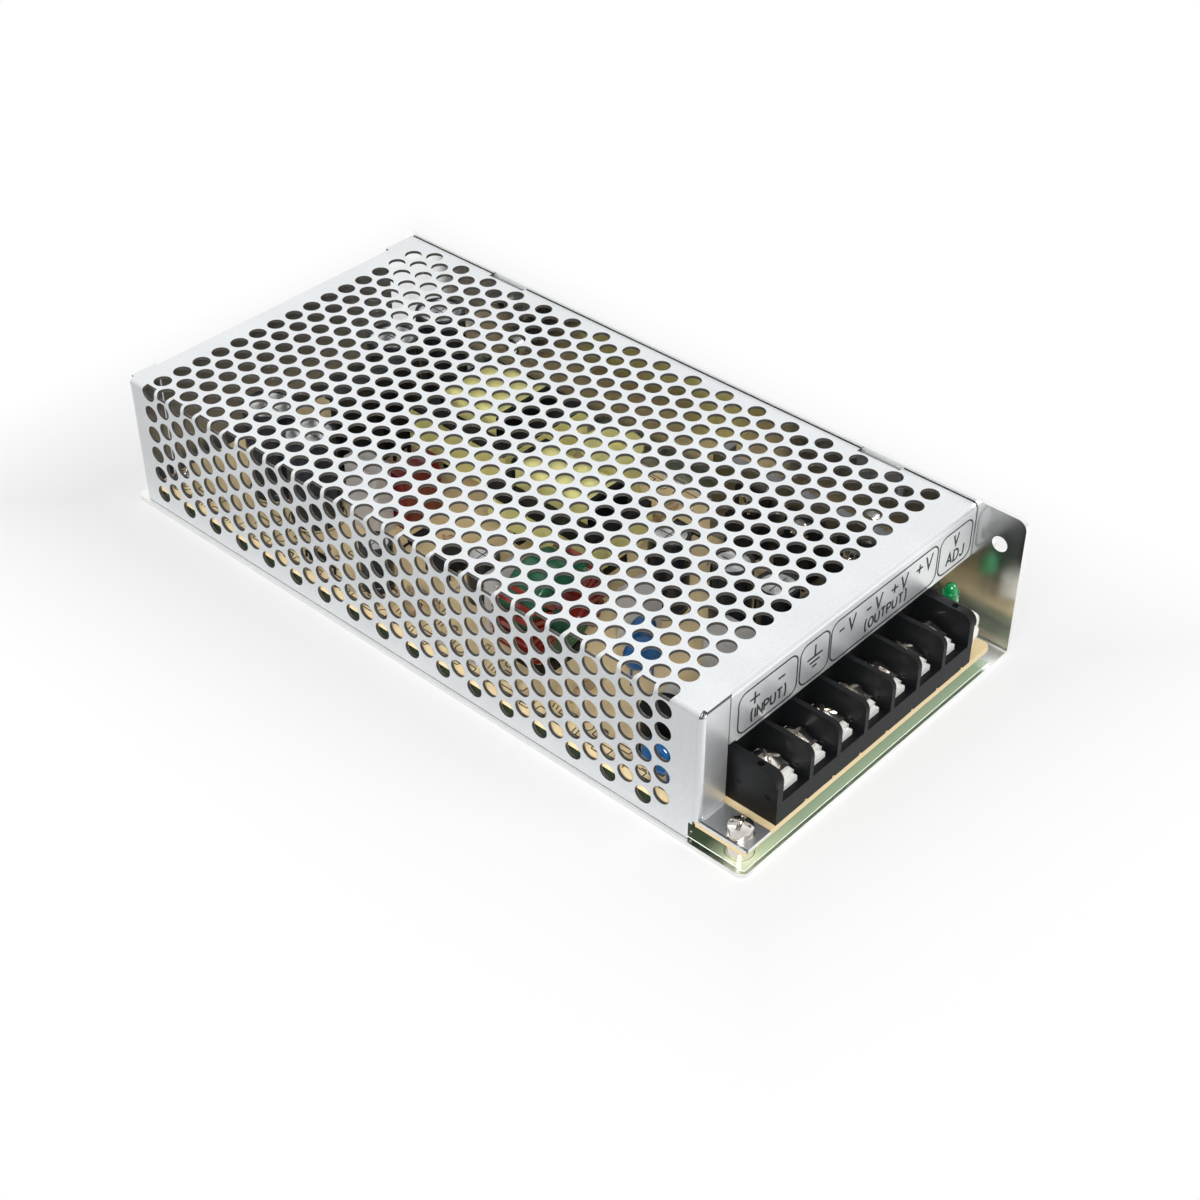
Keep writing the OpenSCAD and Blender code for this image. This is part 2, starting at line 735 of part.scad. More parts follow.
module terminal_plates() {
    front = -screw_in + front_lip_t + trough_w;
    color([0.85, 0.85, 0.84]) for (n = [1 : ways]) translate([bay_x(n), screw_y, floor_z]) difference() {
        union() {
            linear_extrude(plate_t) plate_outline();
            translate([-tongue_w / 2, front, plate_t - lip_h]) cube([tongue_w, plate_t, lip_h]);
        }
        translate([0, 0, -1]) cylinder(r = shank_r + shank_gap, h = plate_t + 2);
        // serrations across the tongue
        for (k = [1 : 3])
            translate([-clamp_s, front + 0.2 + k * 0.55, plate_t - 0.2]) cube([2 * clamp_s, 0.25, 1]);
    }
}

// Square clamp plate, grooved across underneath at its front and back
module clamp(n) {
    color(nickel) translate([bay_x(n), screw_y, plate_z1]) difference() {
        translate([-clamp_s / 2, -clamp_s / 2, 0]) cube([clamp_s, clamp_s, clamp_t]);
        translate([0, 0, -1]) cylinder(r = shank_r + shank_gap, h = clamp_t + 2);
        for (y = [-clamp_s / 2 + 0.5, clamp_s / 2 - 0.8])
            translate([-clamp_s, y, -0.1]) cube([2 * clamp_s, 0.3, 0.35]);
    }
}

// Each screw stopped at its own angle when it was driven home
function rest_turn(n) = (20 + n * 37) % 90;

// Terminal screw: its head bears on the clamp plate, and its shank ends just short of the well's floor
module terminal_screw(n) {
    shank_l = plate_t + shank_reach - 0.4;
    color(nickel) translate([bay_x(n), screw_y, plate_z1 + clamp_t]) difference() {
        union() {
            pan_head(head_d, head_h);
            translate([0, 0, -shank_l - clamp_t]) cylinder(r = shank_r, h = shank_l + clamp_t + 0.1);
        }
        translate([0, 0, head_h]) rotate(rest_turn(n)) cross_recess(head_d + 1, recess_w, 1.2);
    }
}

module clamp_1() clamp(1);
module clamp_2() clamp(2);
module clamp_3() clamp(3);
module clamp_4() clamp(4);
module clamp_5() clamp(5);
module clamp_6() clamp(6);
module clamp_7() clamp(7);
module terminal_screw_1() terminal_screw(1);
module terminal_screw_2() terminal_screw(2);
module terminal_screw_3() terminal_screw(3);
module terminal_screw_4() terminal_screw(4);
module terminal_screw_5() terminal_screw(5);
module terminal_screw_6() terminal_screw(6);
module terminal_screw_7() terminal_screw(7);

// Lamp and adjuster

module lamp_lens() {
    dome_z = lamp_top - lamp_d / 2;
    color([0.12, 0.62, 0.3]) translate([lamp_x, lamp_y, board_z1]) {
        translate([0, 0, lamp_rim_z]) cylinder(d = lamp_d + 1, h = lamp_rim_t);
        translate([0, 0, lamp_rim_z]) cylinder(d = lamp_d, h = dome_z - lamp_rim_z);
        translate([0, 0, dome_z]) sphere(d = lamp_d);
    }
}

module lamp_leads() {
    color(nickel) for (y = [-1, 1])
        translate([lamp_x - 0.25, lamp_y + y * lead_pitch / 2 - 0.25, board_z1]) cube([0.5, 0.5, lamp_rim_z]);
}

// Three pins hold the adjuster above the board
module trimmer_pins() {
    circle_r = 2.5;
    pin_d = 0.7;
    color(nickel) for (a = [-75, 45, 165])
        translate([trimmer_x, trimmer_y, board_z1]) rotate(a) translate([circle_r, 0, 0]) cylinder(d = pin_d, h = pin_l);
}

// Spool-shaped body with a round socket for the turning cap
module trimmer_body() {
    foot_h = trimmer_h / 2;
    neck_d = trimmer_d - 1.1;
    color([0.93, 0.91, 0.86]) translate([trimmer_x, trimmer_y, trimmer_z]) difference() {
        union() {
            cylinder(d = trimmer_d, h = foot_h);
            translate([0, 0, foot_h]) cylinder(d1 = trimmer_d, d2 = neck_d, h = trimmer_h - foot_h);
        }
        translate([0, 0, trimmer_h - rotor_in - 0.1]) cylinder(d = rotor_d + 2 * shank_gap, h = rotor_in + 1);
    }
}

module trimmer_rotor() {
    cap_d = trimmer_d - 0.4;
    color([0.95, 0.94, 0.9]) translate([trimmer_x, trimmer_y, trimmer_z + trimmer_h + 0.05]) difference() {
        union() {
            translate([0, 0, -rotor_in]) cylinder(d = rotor_d, h = rotor_in + 0.5);
            cylinder(d1 = trimmer_d - 1.1, d2 = cap_d, h = cap_h / 2);
            translate([0, 0, cap_h / 2]) cylinder(d = cap_d, h = cap_h / 2);
        }
        translate([0, 0, cap_h]) cross_recess(trimmer_d - 2.4, 0.8, 0.8);
    }
}

// Parts on the board

// Can with a rolled bead above its foot and a scored top
module can(d, h) {
    bead_z = 2.4;
    difference() {
        union() {
            rotate_extrude() difference() {
                translate([0, 0.3]) square([d / 2, h - 0.3]);
                translate([d / 2 + 0.5, bead_z]) circle(0.9);
                translate([0, h - 0.25]) square([d / 2 - 0.9, 1]);
            }
            cylinder(d = d - 1.2, h = 0.5);
        }
        for (a = [0, 90]) rotate(a) translate([0, 0, h]) cube([d * 0.62, 0.3, 0.9], center = true);
    }
}

input_at = [[14, 151.1], [31.3, 151.3], [-28, 150.4], [-29.4, 133.8]];
output_at = [[2.2, 47.1], [4, 30.1], [4.4, 17.5], [4.4, 5.9]];
small_at = [[-24.5, 80.7], [-38, 102.5], [17.5, 5.1]];
small_cap_d = 8;
small_cap_h = 13;

module input_capacitors() {
    color([0.16, 0.17, 0.2]) for (p = input_at) translate(on_board(p)) can(cap_in_d, cap_in_h);
}

module output_capacitors() {
    color([0.12, 0.12, 0.14]) for (p = output_at) translate(on_board(p)) can(cap_out_d, cap_out_h);
}

module small_capacitors() {
    color([0.12, 0.12, 0.14]) for (p = small_at) translate(on_board(p)) can(small_cap_d, small_cap_h);
}

// Transformer lying flat: the core's legs run along Y, and the winding goes round the middle one.
// size: core's outside; leg: outer leg, middle leg and yoke widths; coil_h: height of the winding;
// z0: height of the core's underside above the board
module core_shape(size, leg, z0) {
    window_w = (size.x - 2 * leg.x - leg.y) / 2;
    translate([0, 0, z0]) linear_extrude(size.z) difference() {
        round_rect([size.x, size.y], 0.6);
        for (s = [-1, 1])
            translate([s * (leg.y + window_w) / 2, 0]) square([window_w, size.y - 2 * leg.z], center = true);
    }
}

module coil_section(size, leg, coil_h, gap) {
    window_w = (size.x - 2 * leg.x - leg.y) / 2;
    difference() {
        round_rect([leg.y + 2 * window_w - gap, coil_h], 2.4);
        square([leg.y + 1.6, size.z + 1.6], center = true);
    }
}

module coil_shape(size, leg, coil_h, z0) {
    len = size.y - 2 * leg.z - 3;
    translate([0, len / 2, z0 + size.z / 2]) along_y(len) coil_section(size, leg, coil_h, 0.5);
}

// Bobbin: a square tube on the middle leg, a flange at each end and a rail of feet under each
module bobbin_shape(size, leg, coil_h, z0) {
    window_w = (size.x - 2 * leg.x - leg.y) / 2;
    len = size.y - 2 * leg.z - 0.4;
    flange_t = 1.1;
    mid_z = z0 + size.z / 2;
    difference() {
        union() {
            translate([0, len / 2, mid_z]) along_y(len)
                square([leg.y + 1.4, size.z + 1.4], center = true);
            for (y = [len / 2, -len / 2 + flange_t])
                translate([0, y, mid_z]) along_y(flange_t)
                round_rect([leg.y + 2 * window_w - 0.4, coil_h + 0.6], 1);
            for (y = [len / 2, -len / 2 + flange_t + 1])
                translate([-leg.y / 2 - window_w, y - flange_t - 1, 0])
                cube([leg.y + 2 * window_w, flange_t + 1, mid_z - coil_h / 2]);
        }
        translate([0, size.y / 2, mid_z]) along_y(size.y) square([leg.y + 0.1, size.z + 0.1], center = true);
    }
}

// Tape wound once round the outside of a core
module tape_shape(size, band_h, z0) {
    tape_t = 0.3;
    translate([0, 0, z0]) linear_extrude(band_h) difference() {
        round_rect([size.x + 2 * tape_t, size.y + 2 * tape_t], 0.6 + tape_t);
        round_rect([size.x, size.y], 0.6);
    }
}

// Each transformer: core's size, widths of its outer leg, middle leg and yoke, height of the core's
// underside above the board, height of the winding, height of the tape's band and place on the board
main_size = [30, 33, 12];
main_leg = [5, 9, 6];
main_z = 6.6;
main_coil_h = 23;
main_band_h = 11;
main_at = on_board([16.2, 115.6]);
second_size = [21, 34, 10];
second_leg = [4, 5.4, 4];
second_z = 7.6;
second_coil_h = 23;
second_band_h = 6.6;
second_at = on_board([1.9, 78]);

module main_core() {
    color(ferrite) translate(main_at) core_shape(main_size, main_leg, main_z);
}

module main_winding() {
    color(tape_yellow) translate(main_at) coil_shape(main_size, main_leg, main_coil_h, main_z);
}

module main_bobbin() {
    color(plastic_black) translate(main_at) bobbin_shape(main_size, main_leg, main_coil_h, main_z);
}

module main_tape() {
    color(tape_yellow) translate(main_at) tape_shape(main_size, main_band_h, main_z + 0.2);
}

module second_core() {
    color(ferrite) translate(second_at) core_shape(second_size, second_leg, second_z);
}

module second_winding() {
    color(tape_yellow) translate(second_at) coil_shape(second_size, second_leg, second_coil_h, second_z);
}

module second_bobbin() {
    color(plastic_black) translate(second_at) bobbin_shape(second_size, second_leg, second_coil_h, second_z);
}

module second_tape() {
    color(tape_yellow) translate(second_at) tape_shape(second_size, second_band_h, second_z + 0.2);
}

// Ring choke standing on edge, its axis along Y
module ring_core() {
    r = 1;
    color([0.16, 0.42, 0.3]) translate([ring_at.x, ring_at.y, ring_z]) rotate([90, 0, 0]) rotate_extrude()
        translate([(ring_d + ring_bore) / 4, 0]) round_rect([(ring_d - ring_bore) / 2, ring_t], r);
}

// One turn round the ring's section, at an angle about the ring's axis
module ring_turn(a) {
    gap = 0.1;
    core_w = (ring_d - ring_bore) / 2 + gap;
    rotate([0, a, 0]) translate([(ring_d + ring_bore) / 4, 0, -wire_d / 2]) linear_extrude(wire_d) difference() {
        round_rect([core_w + 2 * wire_d, ring_t + gap + 2 * wire_d], 1.6);
        round_rect([core_w, ring_t + gap], 1);
    }
}

module ring_windings() {
    // turns lie side by side where they pass through the ring's bore
    step = 2 * atan(wire_d / (ring_bore - 2 * wire_d - 0.1)) + 0.3;
    color([0.5, 0.12, 0.1]) translate([ring_at.x, ring_at.y, ring_z])
        for (side = [0, 180], n = [0 : ring_turns - 1])
            ring_turn(side + (n - (ring_turns - 1) / 2) * step);
}

// Plastic foot, hollowed to the ring's curve
module ring_base() {
    foot_w = 14;
    horn_h = 2.6;
    color(plastic_black) difference() {
        translate([ring_at.x - foot_w / 2, ring_at.y - ring_t / 2, board_z1])
            cube([foot_w, ring_t, ring_base_t + horn_h]);
        translate([ring_at.x, ring_at.y + ring_t, ring_z]) rotate([90, 0, 0])
            cylinder(d = ring_d + 0.2, h = 2 * ring_t);
    }
}

// Boxed capacitor standing on the board
module boxed(size) {
    linear_extrude(size.z) round_rect([size.x, size.y], 0.8);
}

red_cap_size = [12.6, 6.6, 15.6];
module red_capacitor() {
    color([0.45, 0.08, 0.07]) translate(on_board([-12.6, 116.3])) boxed(red_cap_size);
}

// Place and size of each boxed film capacitor
film_caps = [
    [[-22.6, 121.5], [5.8, 11, 19]],
    [[-29, 68.9], [10, 5, 17]],
    [[-11.6, 43.9], [9, 6.6, 15]],
    [[-10, 18], [8.6, 11, 15]]
];
module film_capacitors() {
    color([0.72, 0.70, 0.68]) for (c = film_caps) translate(on_board(c[0])) boxed(c[1]);
}

// Place, height of the centre above the board and turn about Z of each disc capacitor
disc_caps = [
    [[-17.5, 38.2], 8.6, 0],
    [[-22.5, 33.4], 8.6, -30],
    [[-43.5, 10.2], 7, 90]
];
disc_d = 9;
disc_t = 3.4;
disc_lead_pitch = 5;
disc_lead_d = 0.6;
module disc_capacitors() {
    color([0.1, 0.3, 0.62]) for (c = disc_caps) translate(on_board(c[0])) rotate(c[2]) {
        translate([0, 0, c[1]]) rotate([90, 0, 0]) rotate_extrude() {
            translate([0, -disc_t / 2]) square([disc_d / 2 - disc_t / 2, disc_t]);
            intersection() {
                translate([disc_d / 2 - disc_t / 2, 0]) circle(disc_t / 2);
                translate([disc_d / 2 - disc_t / 2, -disc_t]) square(2 * disc_t);
            }
        }
        for (s = [-1, 1]) translate([s * disc_lead_pitch / 2, 0, 0]) cylinder(d = disc_lead_d, h = c[1] - 2);
    }
}

// Spool: a round body between two flanges
module spool(d, flange_d, flange_t, h) {
    cylinder(d = flange_d, h = flange_t);
    cylinder(d = d, h = h - flange_t / 2);
    translate([0, 0, h - flange_t]) cylinder(d = flange_d, h = flange_t);
}

drum_d = 9.4;
drum_flange_d = 10;
drum_flange_t = 1.4;
drum_h = 12.4;
module drum_choke() {
    color(plastic_black) translate(on_board([-36.4, 15.5])) spool(drum_d, drum_flange_d, drum_flange_t, drum_h);
}

inductor_d = 15;
inductor_flange_d = 16;
inductor_flange_t = 1.2;
inductor_h = 15;
inductor_bore = 6;
module filter_inductor() {
    color([0.6, 0.56, 0.25]) translate(on_board([26, 86.3])) difference() {
        spool(inductor_d, inductor_flange_d, inductor_flange_t, inductor_h);
        translate([0, 0, inductor_h - 1]) cylinder(d = inductor_bore, h = 2);
    }
}

// Flat transistor case with its metal tab, back to y = 0, standing on three leads
case_size = [10, 4.6, 9];
case_tab_t = 1.3;
case_tab_h = 15.4;
case_lead_l = 4;
case_lead = [0.8, 0.6];
case_hole_d = 3.6;
case_hole_z = case_lead_l + case_tab_h - 2.9;
module flat_case() {
    translate([-case_size.x / 2, -case_size.y, case_lead_l]) cube(case_size);
    difference() {
        translate([-case_size.x / 2, -case_tab_t, case_lead_l]) cube([case_size.x, case_tab_t, case_tab_h]);
        translate([0, 1, case_hole_z]) rotate([90, 0, 0]) cylinder(d = case_hole_d, h = case_tab_t + 2);
    }
    for (n = [-1 : 1])
        translate([n * lead_pitch - case_lead.x / 2, -(case_size.y + case_lead.y) / 2, 0])
            cube([case_lead.x, case_lead.y, case_lead_l + 0.2]);
}

primary_sink_size = [25, 2, 24];
primary_sink_top = [25, 5, 1.6];
primary_sink_at = on_board([-16, 139.5]);
module primary_heatsink() {
    color(plastic_black) translate(primary_sink_at) {
        cube(primary_sink_size);
        translate([0, 0, primary_sink_size.z]) cube(primary_sink_top);
    }
}

module primary_transistors() {
    color([0.14, 0.14, 0.15]) for (x = [6, 18.4]) translate(primary_sink_at + [x, 0, 0]) flat_case();
}

rectifier_ys = [for (y = [9, 24, 39]) sink_y + y];
rectifier_hole_z = board_z1 + case_hole_z;
module output_heatsink() {
    color([0.3, 0.31, 0.32]) difference() {
        union() {
            translate([sink_x, sink_y, board_z1]) cube(sink_size);
            for (y = [0, sink_size.y - sink_size.x])
                translate([sink_x, sink_y + y, board_z1]) cube([sink_foot, sink_size.x, sink_size.z]);
        }
        for (y = rectifier_ys) translate([sink_x - 1, y, rectifier_hole_z]) rotate([0, 90, 0])
            cylinder(d = small_screw_d - 0.4, h = sink_size.x + 2);
    }
}

module rectifiers() {
    color([0.14, 0.14, 0.15]) for (y = rectifier_ys)
        translate([sink_x, y, board_z1]) rotate(-90) flat_case();
}

// Part with a round body between two bent leads; len: between the leads' feet
module axial(len, body_l, body_d, rise) {
    lead_d = 0.6;
    translate([0, 0, rise]) rotate([0, 90, 0]) {
        cylinder(d = body_d, h = body_l, center = true);
        cylinder(d = lead_d, h = len, center = true);
    }
    for (s = [-1, 1]) translate([s * len / 2, 0, 0]) {
        cylinder(d = lead_d, h = rise);
        translate([0, 0, rise]) sphere(d = lead_d);
    }
}

// Place of each small axial part, and its turn about Z
resistor_at = [[-40, 90.5, 90], [-35, 90.5, 90], [-33, 40.5, 0], [-15.5, 98.5, 90], [28, 70.5, 0], [18, 60.5, 90]];
axial_l = 10.2;
module resistors() {
    color([0.62, 0.5, 0.36]) for (p = resistor_at)
        translate(on_board(p)) rotate(p[2]) axial(axial_l, 6.4, 2.4, 1.5);
}

diode_at = [[-42, 118.5, 90], [-20, 107.5, 0], [26, 62.5, 90]];
module diodes() {
    color([0.1, 0.1, 0.11]) for (p = diode_at)
        translate(on_board(p)) rotate(p[2]) axial(axial_l, 5.2, 2.7, 1.7);
}

jumper_at = [[-43.5, 70.5, 90], [-44, 102.5, 90], [20, 73.5, 0], [16, 44.5, 90], [34, 72.5, 90], [-27, 87.5, 0]];
jumper_l = 12;
module jumper_wires() {
    color(nickel) for (p = jumper_at)
        translate(on_board(p)) rotate(p[2]) axial(jumper_l, 1, 0.6, 0.6);
}

// Chip with two rows of legs, its length along X
chip_d = 6.4;
chip_h = 3.2;
chip_leg = [0.8, 0.7, 2.2];
module chip(w, legs) {
    translate([-w / 2, -chip_d / 2, 0.6]) cube([w, chip_d, chip_h]);
    for (n = [0 : legs - 1], s = [-1, 1])
        translate([(n - (legs - 1) / 2) * lead_pitch - chip_leg.x / 2, s * (chip_d / 2 + 0.3) - chip_leg.y / 2, 0])
            cube(chip_leg);
}

module control_ic() {
    color(plastic_black) translate(on_board([-22, 95])) chip(9.6, 4);
}

module optocouplers() {
    color([0.88, 0.87, 0.84]) for (y = [13.5, 22.6]) translate(on_board([-22, y])) chip(4.8, 2);
}

// Glass fuse between two end caps, each in a clip on the board
fuse_l = 20;
fuse_d = 4.6;
fuse_cap = [5, 5.2];
fuse_clip = [3, 3, 1];
module fuse() {
    color([0.8, 0.8, 0.78]) translate(on_board([-22, 3.4])) {
        translate([0, 0, fuse_cap.y / 2 + fuse_clip.z / 2]) rotate([0, 90, 0]) {
            cylinder(d = fuse_d, h = fuse_l - fuse_cap.x, center = true);
            for (s = [-1, 1]) translate([0, 0, s * (fuse_l - fuse_cap.x) / 2])
                cylinder(d = fuse_cap.y, h = fuse_cap.x, center = true);
        }
        for (s = [-1, 1])
            translate([(s * (fuse_l - fuse_cap.x) - fuse_clip.x) / 2, -fuse_clip.y / 2, 0]) cube(fuse_clip);
    }
}

chassis();
cover();
board();
insulating_sheet();
standoffs();
pan_screws();
spring_washers();
plain_washer();
cover_screws();
terminal_block();
terminal_plates();
clamp_1();
clamp_2();
clamp_3();
clamp_4();
clamp_5();
clamp_6();
clamp_7();
terminal_screw_1();
terminal_screw_2();
terminal_screw_3();
terminal_screw_4();
terminal_screw_5();
terminal_screw_6();
terminal_screw_7();
lamp_lens();
lamp_leads();
trimmer_pins();
trimmer_body();
trimmer_rotor();
input_capacitors();
output_capacitors();
small_capacitors();
main_core();
main_winding();
main_bobbin();
main_tape();
second_core();
second_winding();
second_bobbin();
second_tape();
ring_core();
ring_windings();
ring_base();
red_capacitor();
film_capacitors();
disc_capacitors();
drum_choke();
filter_inductor();
primary_heatsink();
primary_transistors();
output_heatsink();
rectifiers();
resistors();
diodes();
jumper_wires();
control_ic();
optocouplers();
fuse();
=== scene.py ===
"""Finishes, markings and studio for a mesh case power supply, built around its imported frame."""
import math
import random

import bmesh
import bpy
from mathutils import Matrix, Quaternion, Vector


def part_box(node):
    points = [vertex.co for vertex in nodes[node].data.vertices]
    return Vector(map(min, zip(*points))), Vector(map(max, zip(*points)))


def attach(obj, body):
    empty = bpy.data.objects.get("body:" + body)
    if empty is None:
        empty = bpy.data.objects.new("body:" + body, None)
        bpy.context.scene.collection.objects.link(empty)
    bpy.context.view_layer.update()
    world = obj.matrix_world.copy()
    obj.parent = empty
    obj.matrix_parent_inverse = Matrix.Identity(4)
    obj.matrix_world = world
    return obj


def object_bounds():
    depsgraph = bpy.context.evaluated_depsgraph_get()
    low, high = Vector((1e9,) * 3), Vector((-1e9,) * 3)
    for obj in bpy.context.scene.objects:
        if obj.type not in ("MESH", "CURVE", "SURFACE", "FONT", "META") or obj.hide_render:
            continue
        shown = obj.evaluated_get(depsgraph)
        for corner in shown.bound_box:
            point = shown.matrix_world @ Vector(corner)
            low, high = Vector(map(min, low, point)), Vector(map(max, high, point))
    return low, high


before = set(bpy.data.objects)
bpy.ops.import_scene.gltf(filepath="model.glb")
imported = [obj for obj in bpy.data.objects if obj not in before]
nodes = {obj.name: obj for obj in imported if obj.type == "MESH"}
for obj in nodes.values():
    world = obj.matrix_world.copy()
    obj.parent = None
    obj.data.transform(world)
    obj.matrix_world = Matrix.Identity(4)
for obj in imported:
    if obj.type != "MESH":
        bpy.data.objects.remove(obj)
cad_low, cad_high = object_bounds()

MM = 0.001

# Camera, fitted to the photo's view
AZIMUTH, ELEVATION, ROLL = -47.804659, 38.762910, 0.093595
DISTANCE = 458.99886 * MM
TARGET = Vector((-18.0131, -31.9226, 19)) * MM
LENS = 61.2192

TERMINALS = range(1, 8)

# Planes that carry print, in the frame
FLANGE_Y = -86.6 * MM
BOARD_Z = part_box("board")[1].z


def towards_camera():
    """Direction from the case to the camera; azimuth 0 is straight before the terminals."""
    a, e = math.radians(AZIMUTH), math.radians(ELEVATION)
    return Vector((math.sin(a) * math.cos(e), -math.cos(a) * math.cos(e), math.sin(e)))


def set_camera():
    """The photo's view: it looks at TARGET from DISTANCE, turned by ROLL about its own axis."""
    back = towards_camera()
    data = bpy.data.cameras.new("camera")
    data.lens, data.sensor_width = LENS, 36
    data.clip_start, data.clip_end = 0.01, 20
    camera = bpy.data.objects.new("camera", data)
    bpy.context.scene.collection.objects.link(camera)
    camera.location = TARGET + back * DISTANCE
    camera.rotation_mode = "QUATERNION"
    upright = (-back).to_track_quat("-Z", "Y")
    camera.rotation_quaternion = upright @ Quaternion((0, 0, 1), math.radians(ROLL))
    bpy.context.scene.camera = camera


# Node helpers

def node_of(tree, kind, **inputs):
    """A new node, with its inputs set by name: a value, or a socket to link from."""
    node = tree.nodes.new(kind)
    for name, value in inputs.items():
        put(tree, node.inputs[name.replace("_", " ")], value)
    return node


def put(tree, socket, value):
    """Sets a socket: links another socket to it, or gives it a plain value."""
    if isinstance(value, bpy.types.NodeSocket):
        tree.links.new(value, socket)
    elif socket.type == "RGBA" and len(value) == 3:
        socket.default_value = (*value, 1)
    else:
        socket.default_value = value


def maths(tree, operation, a, b=0.0, clamp=False):
    """The outcome of one sum on a and b."""
    node = tree.nodes.new("ShaderNodeMath")
    node.operation, node.use_clamp = operation, clamp
    put(tree, node.inputs[0], a)
    put(tree, node.inputs[1], b)
    return node.outputs[0]


def between(tree, value, low, high, to_low=0.0, to_high=1.0):
    """value from low to high, stretched to run from to_low to to_high and held there beyond."""
    node = tree.nodes.new("ShaderNodeMapRange")
    for name, number in (("Value", value), ("From Min", low), ("From Max", high),
                         ("To Min", to_low), ("To Max", to_high)):
        put(tree, node.inputs[name], number)
    return node.outputs[0]


def blend_colours(tree, share, a, b):
    """Colour a, and b by its share."""
    node = tree.nodes.new("ShaderNodeMix")
    node.data_type = "RGBA"
    put(tree, node.inputs["Factor"], share)
    put(tree, node.inputs[6], a)
    put(tree, node.inputs[7], b)
    return node.outputs[2]


def surface(tree, kind):
    """Coordinates fixed to the object: Object for a point's place, Normal for the way that it faces."""
    return tree.nodes.new("ShaderNodeTexCoord").outputs[kind]


def axes_of(tree, kind):
    """The same coordinates, split into X, Y and Z."""
    return node_of(tree, "ShaderNodeSeparateXYZ", Vector=surface(tree, kind)).outputs


def new_group(name, inputs, outputs):
    """An empty shader group with named sockets: name to kind, and a default where one is given."""
    group = bpy.data.node_groups.new(name, "ShaderNodeTree")
    for socket, (kind, default) in inputs.items():
        made = group.interface.new_socket(socket, in_out="INPUT", socket_type=kind)
        made.default_value = default
    for socket, kind in outputs.items():
        group.interface.new_socket(socket, in_out="OUTPUT", socket_type=kind)
    return group, group.nodes.new("NodeGroupInput"), group.nodes.new("NodeGroupOutput")


COLOUR, FLOAT = "NodeSocketColor", "NodeSocketFloat"


def grain_group():
    """Fine, even grain: small changes of colour and roughness, and a height for bump."""
    tree, start, end = new_group(
        "fine_grain",
        {"Colour": (COLOUR, (0.8, 0.8, 0.8, 1)), "Colour Spread": (FLOAT, 0.05), "Roughness": (FLOAT, 0.4),
         "Roughness Spread": (FLOAT, 0.1), "Scale": (FLOAT, 900.0)},
        {"Colour": COLOUR, "Roughness": FLOAT, "Height": FLOAT})
    place = surface(tree, "Object")
    fine = node_of(tree, "ShaderNodeTexNoise", Vector=place, Scale=start.outputs["Scale"], Detail=3.0)
    wide = node_of(tree, "ShaderNodeTexNoise", Vector=place, Scale=60.0, Detail=2.0)
    both = maths(tree, "ADD", maths(tree, "MULTIPLY", fine.outputs[0], 0.6),
                 maths(tree, "MULTIPLY", wide.outputs[0], 0.4))
    swing = maths(tree, "SUBTRACT", maths(tree, "MULTIPLY", both, 2.0), 1.0)
    lift = maths(tree, "ADD", maths(tree, "MULTIPLY", swing, start.outputs["Colour Spread"]), 1.0)
    tone = tree.nodes.new("ShaderNodeVectorMath")
    tone.operation = "SCALE"
    tree.links.new(start.outputs["Colour"], tone.inputs[0])
    tree.links.new(lift, tone.inputs["Scale"])
    tree.links.new(tone.outputs[0], end.inputs["Colour"])
    rough = maths(tree, "MULTIPLY", swing, start.outputs["Roughness Spread"])
    rough = maths(tree, "ADD", rough, start.outputs["Roughness"], clamp=True)
    tree.links.new(rough, end.inputs["Roughness"])
    tree.links.new(fine.outputs[0], end.inputs["Height"])
    return tree


def streak_group():
    """Rolling marks: noise drawn out along the sheet's rolled direction, which is up the wall."""
    tree, start, end = new_group(
        "rolling_marks",
        {"Roughness": (FLOAT, 0.1), "Roughness Spread": (FLOAT, 0.08), "Across": (FLOAT, 900.0),
         "Along": (FLOAT, 12.0)},
        {"Roughness": FLOAT, "Height": FLOAT})
    across = start.outputs["Across"]
    stretch = node_of(tree, "ShaderNodeCombineXYZ", X=across, Y=across, Z=start.outputs["Along"])
    drawn = node_of(tree, "ShaderNodeMapping", Vector=surface(tree, "Object"), Scale=stretch.outputs[0])
    marks = node_of(tree, "ShaderNodeTexNoise", Vector=drawn.outputs[0], Scale=1.0, Detail=3.0)
    swing = maths(tree, "SUBTRACT", marks.outputs[0], 0.5)
    rough = maths(tree, "MULTIPLY", swing, start.outputs["Roughness Spread"])
    rough = maths(tree, "ADD", rough, start.outputs["Roughness"], clamp=True)
    tree.links.new(rough, end.inputs["Roughness"])
    tree.links.new(marks.outputs[0], end.inputs["Height"])
    return tree


def level_group():
    """1 on faces that look up (Side 1) or down (Side -1), between the heights Low and High; 0 elsewhere."""
    tree, start, end = new_group(
        "faces_at_level",
        {"Low": (FLOAT, 0.0), "High": (FLOAT, 1.0), "Side": (FLOAT, 1.0)},
        {"Mask": FLOAT})
    where, facing = axes_of(tree, "Object"), axes_of(tree, "Normal")
    above = maths(tree, "GREATER_THAN", where["Z"], start.outputs["Low"])
    below = maths(tree, "LESS_THAN", where["Z"], start.outputs["High"])
    band = maths(tree, "MULTIPLY", above, below)
    turned = maths(tree, "MULTIPLY", facing["Z"], start.outputs["Side"])
    flat = maths(tree, "GREATER_THAN", turned, 0.6)
    tree.links.new(maths(tree, "MULTIPLY", band, flat), end.inputs["Mask"])
    return tree


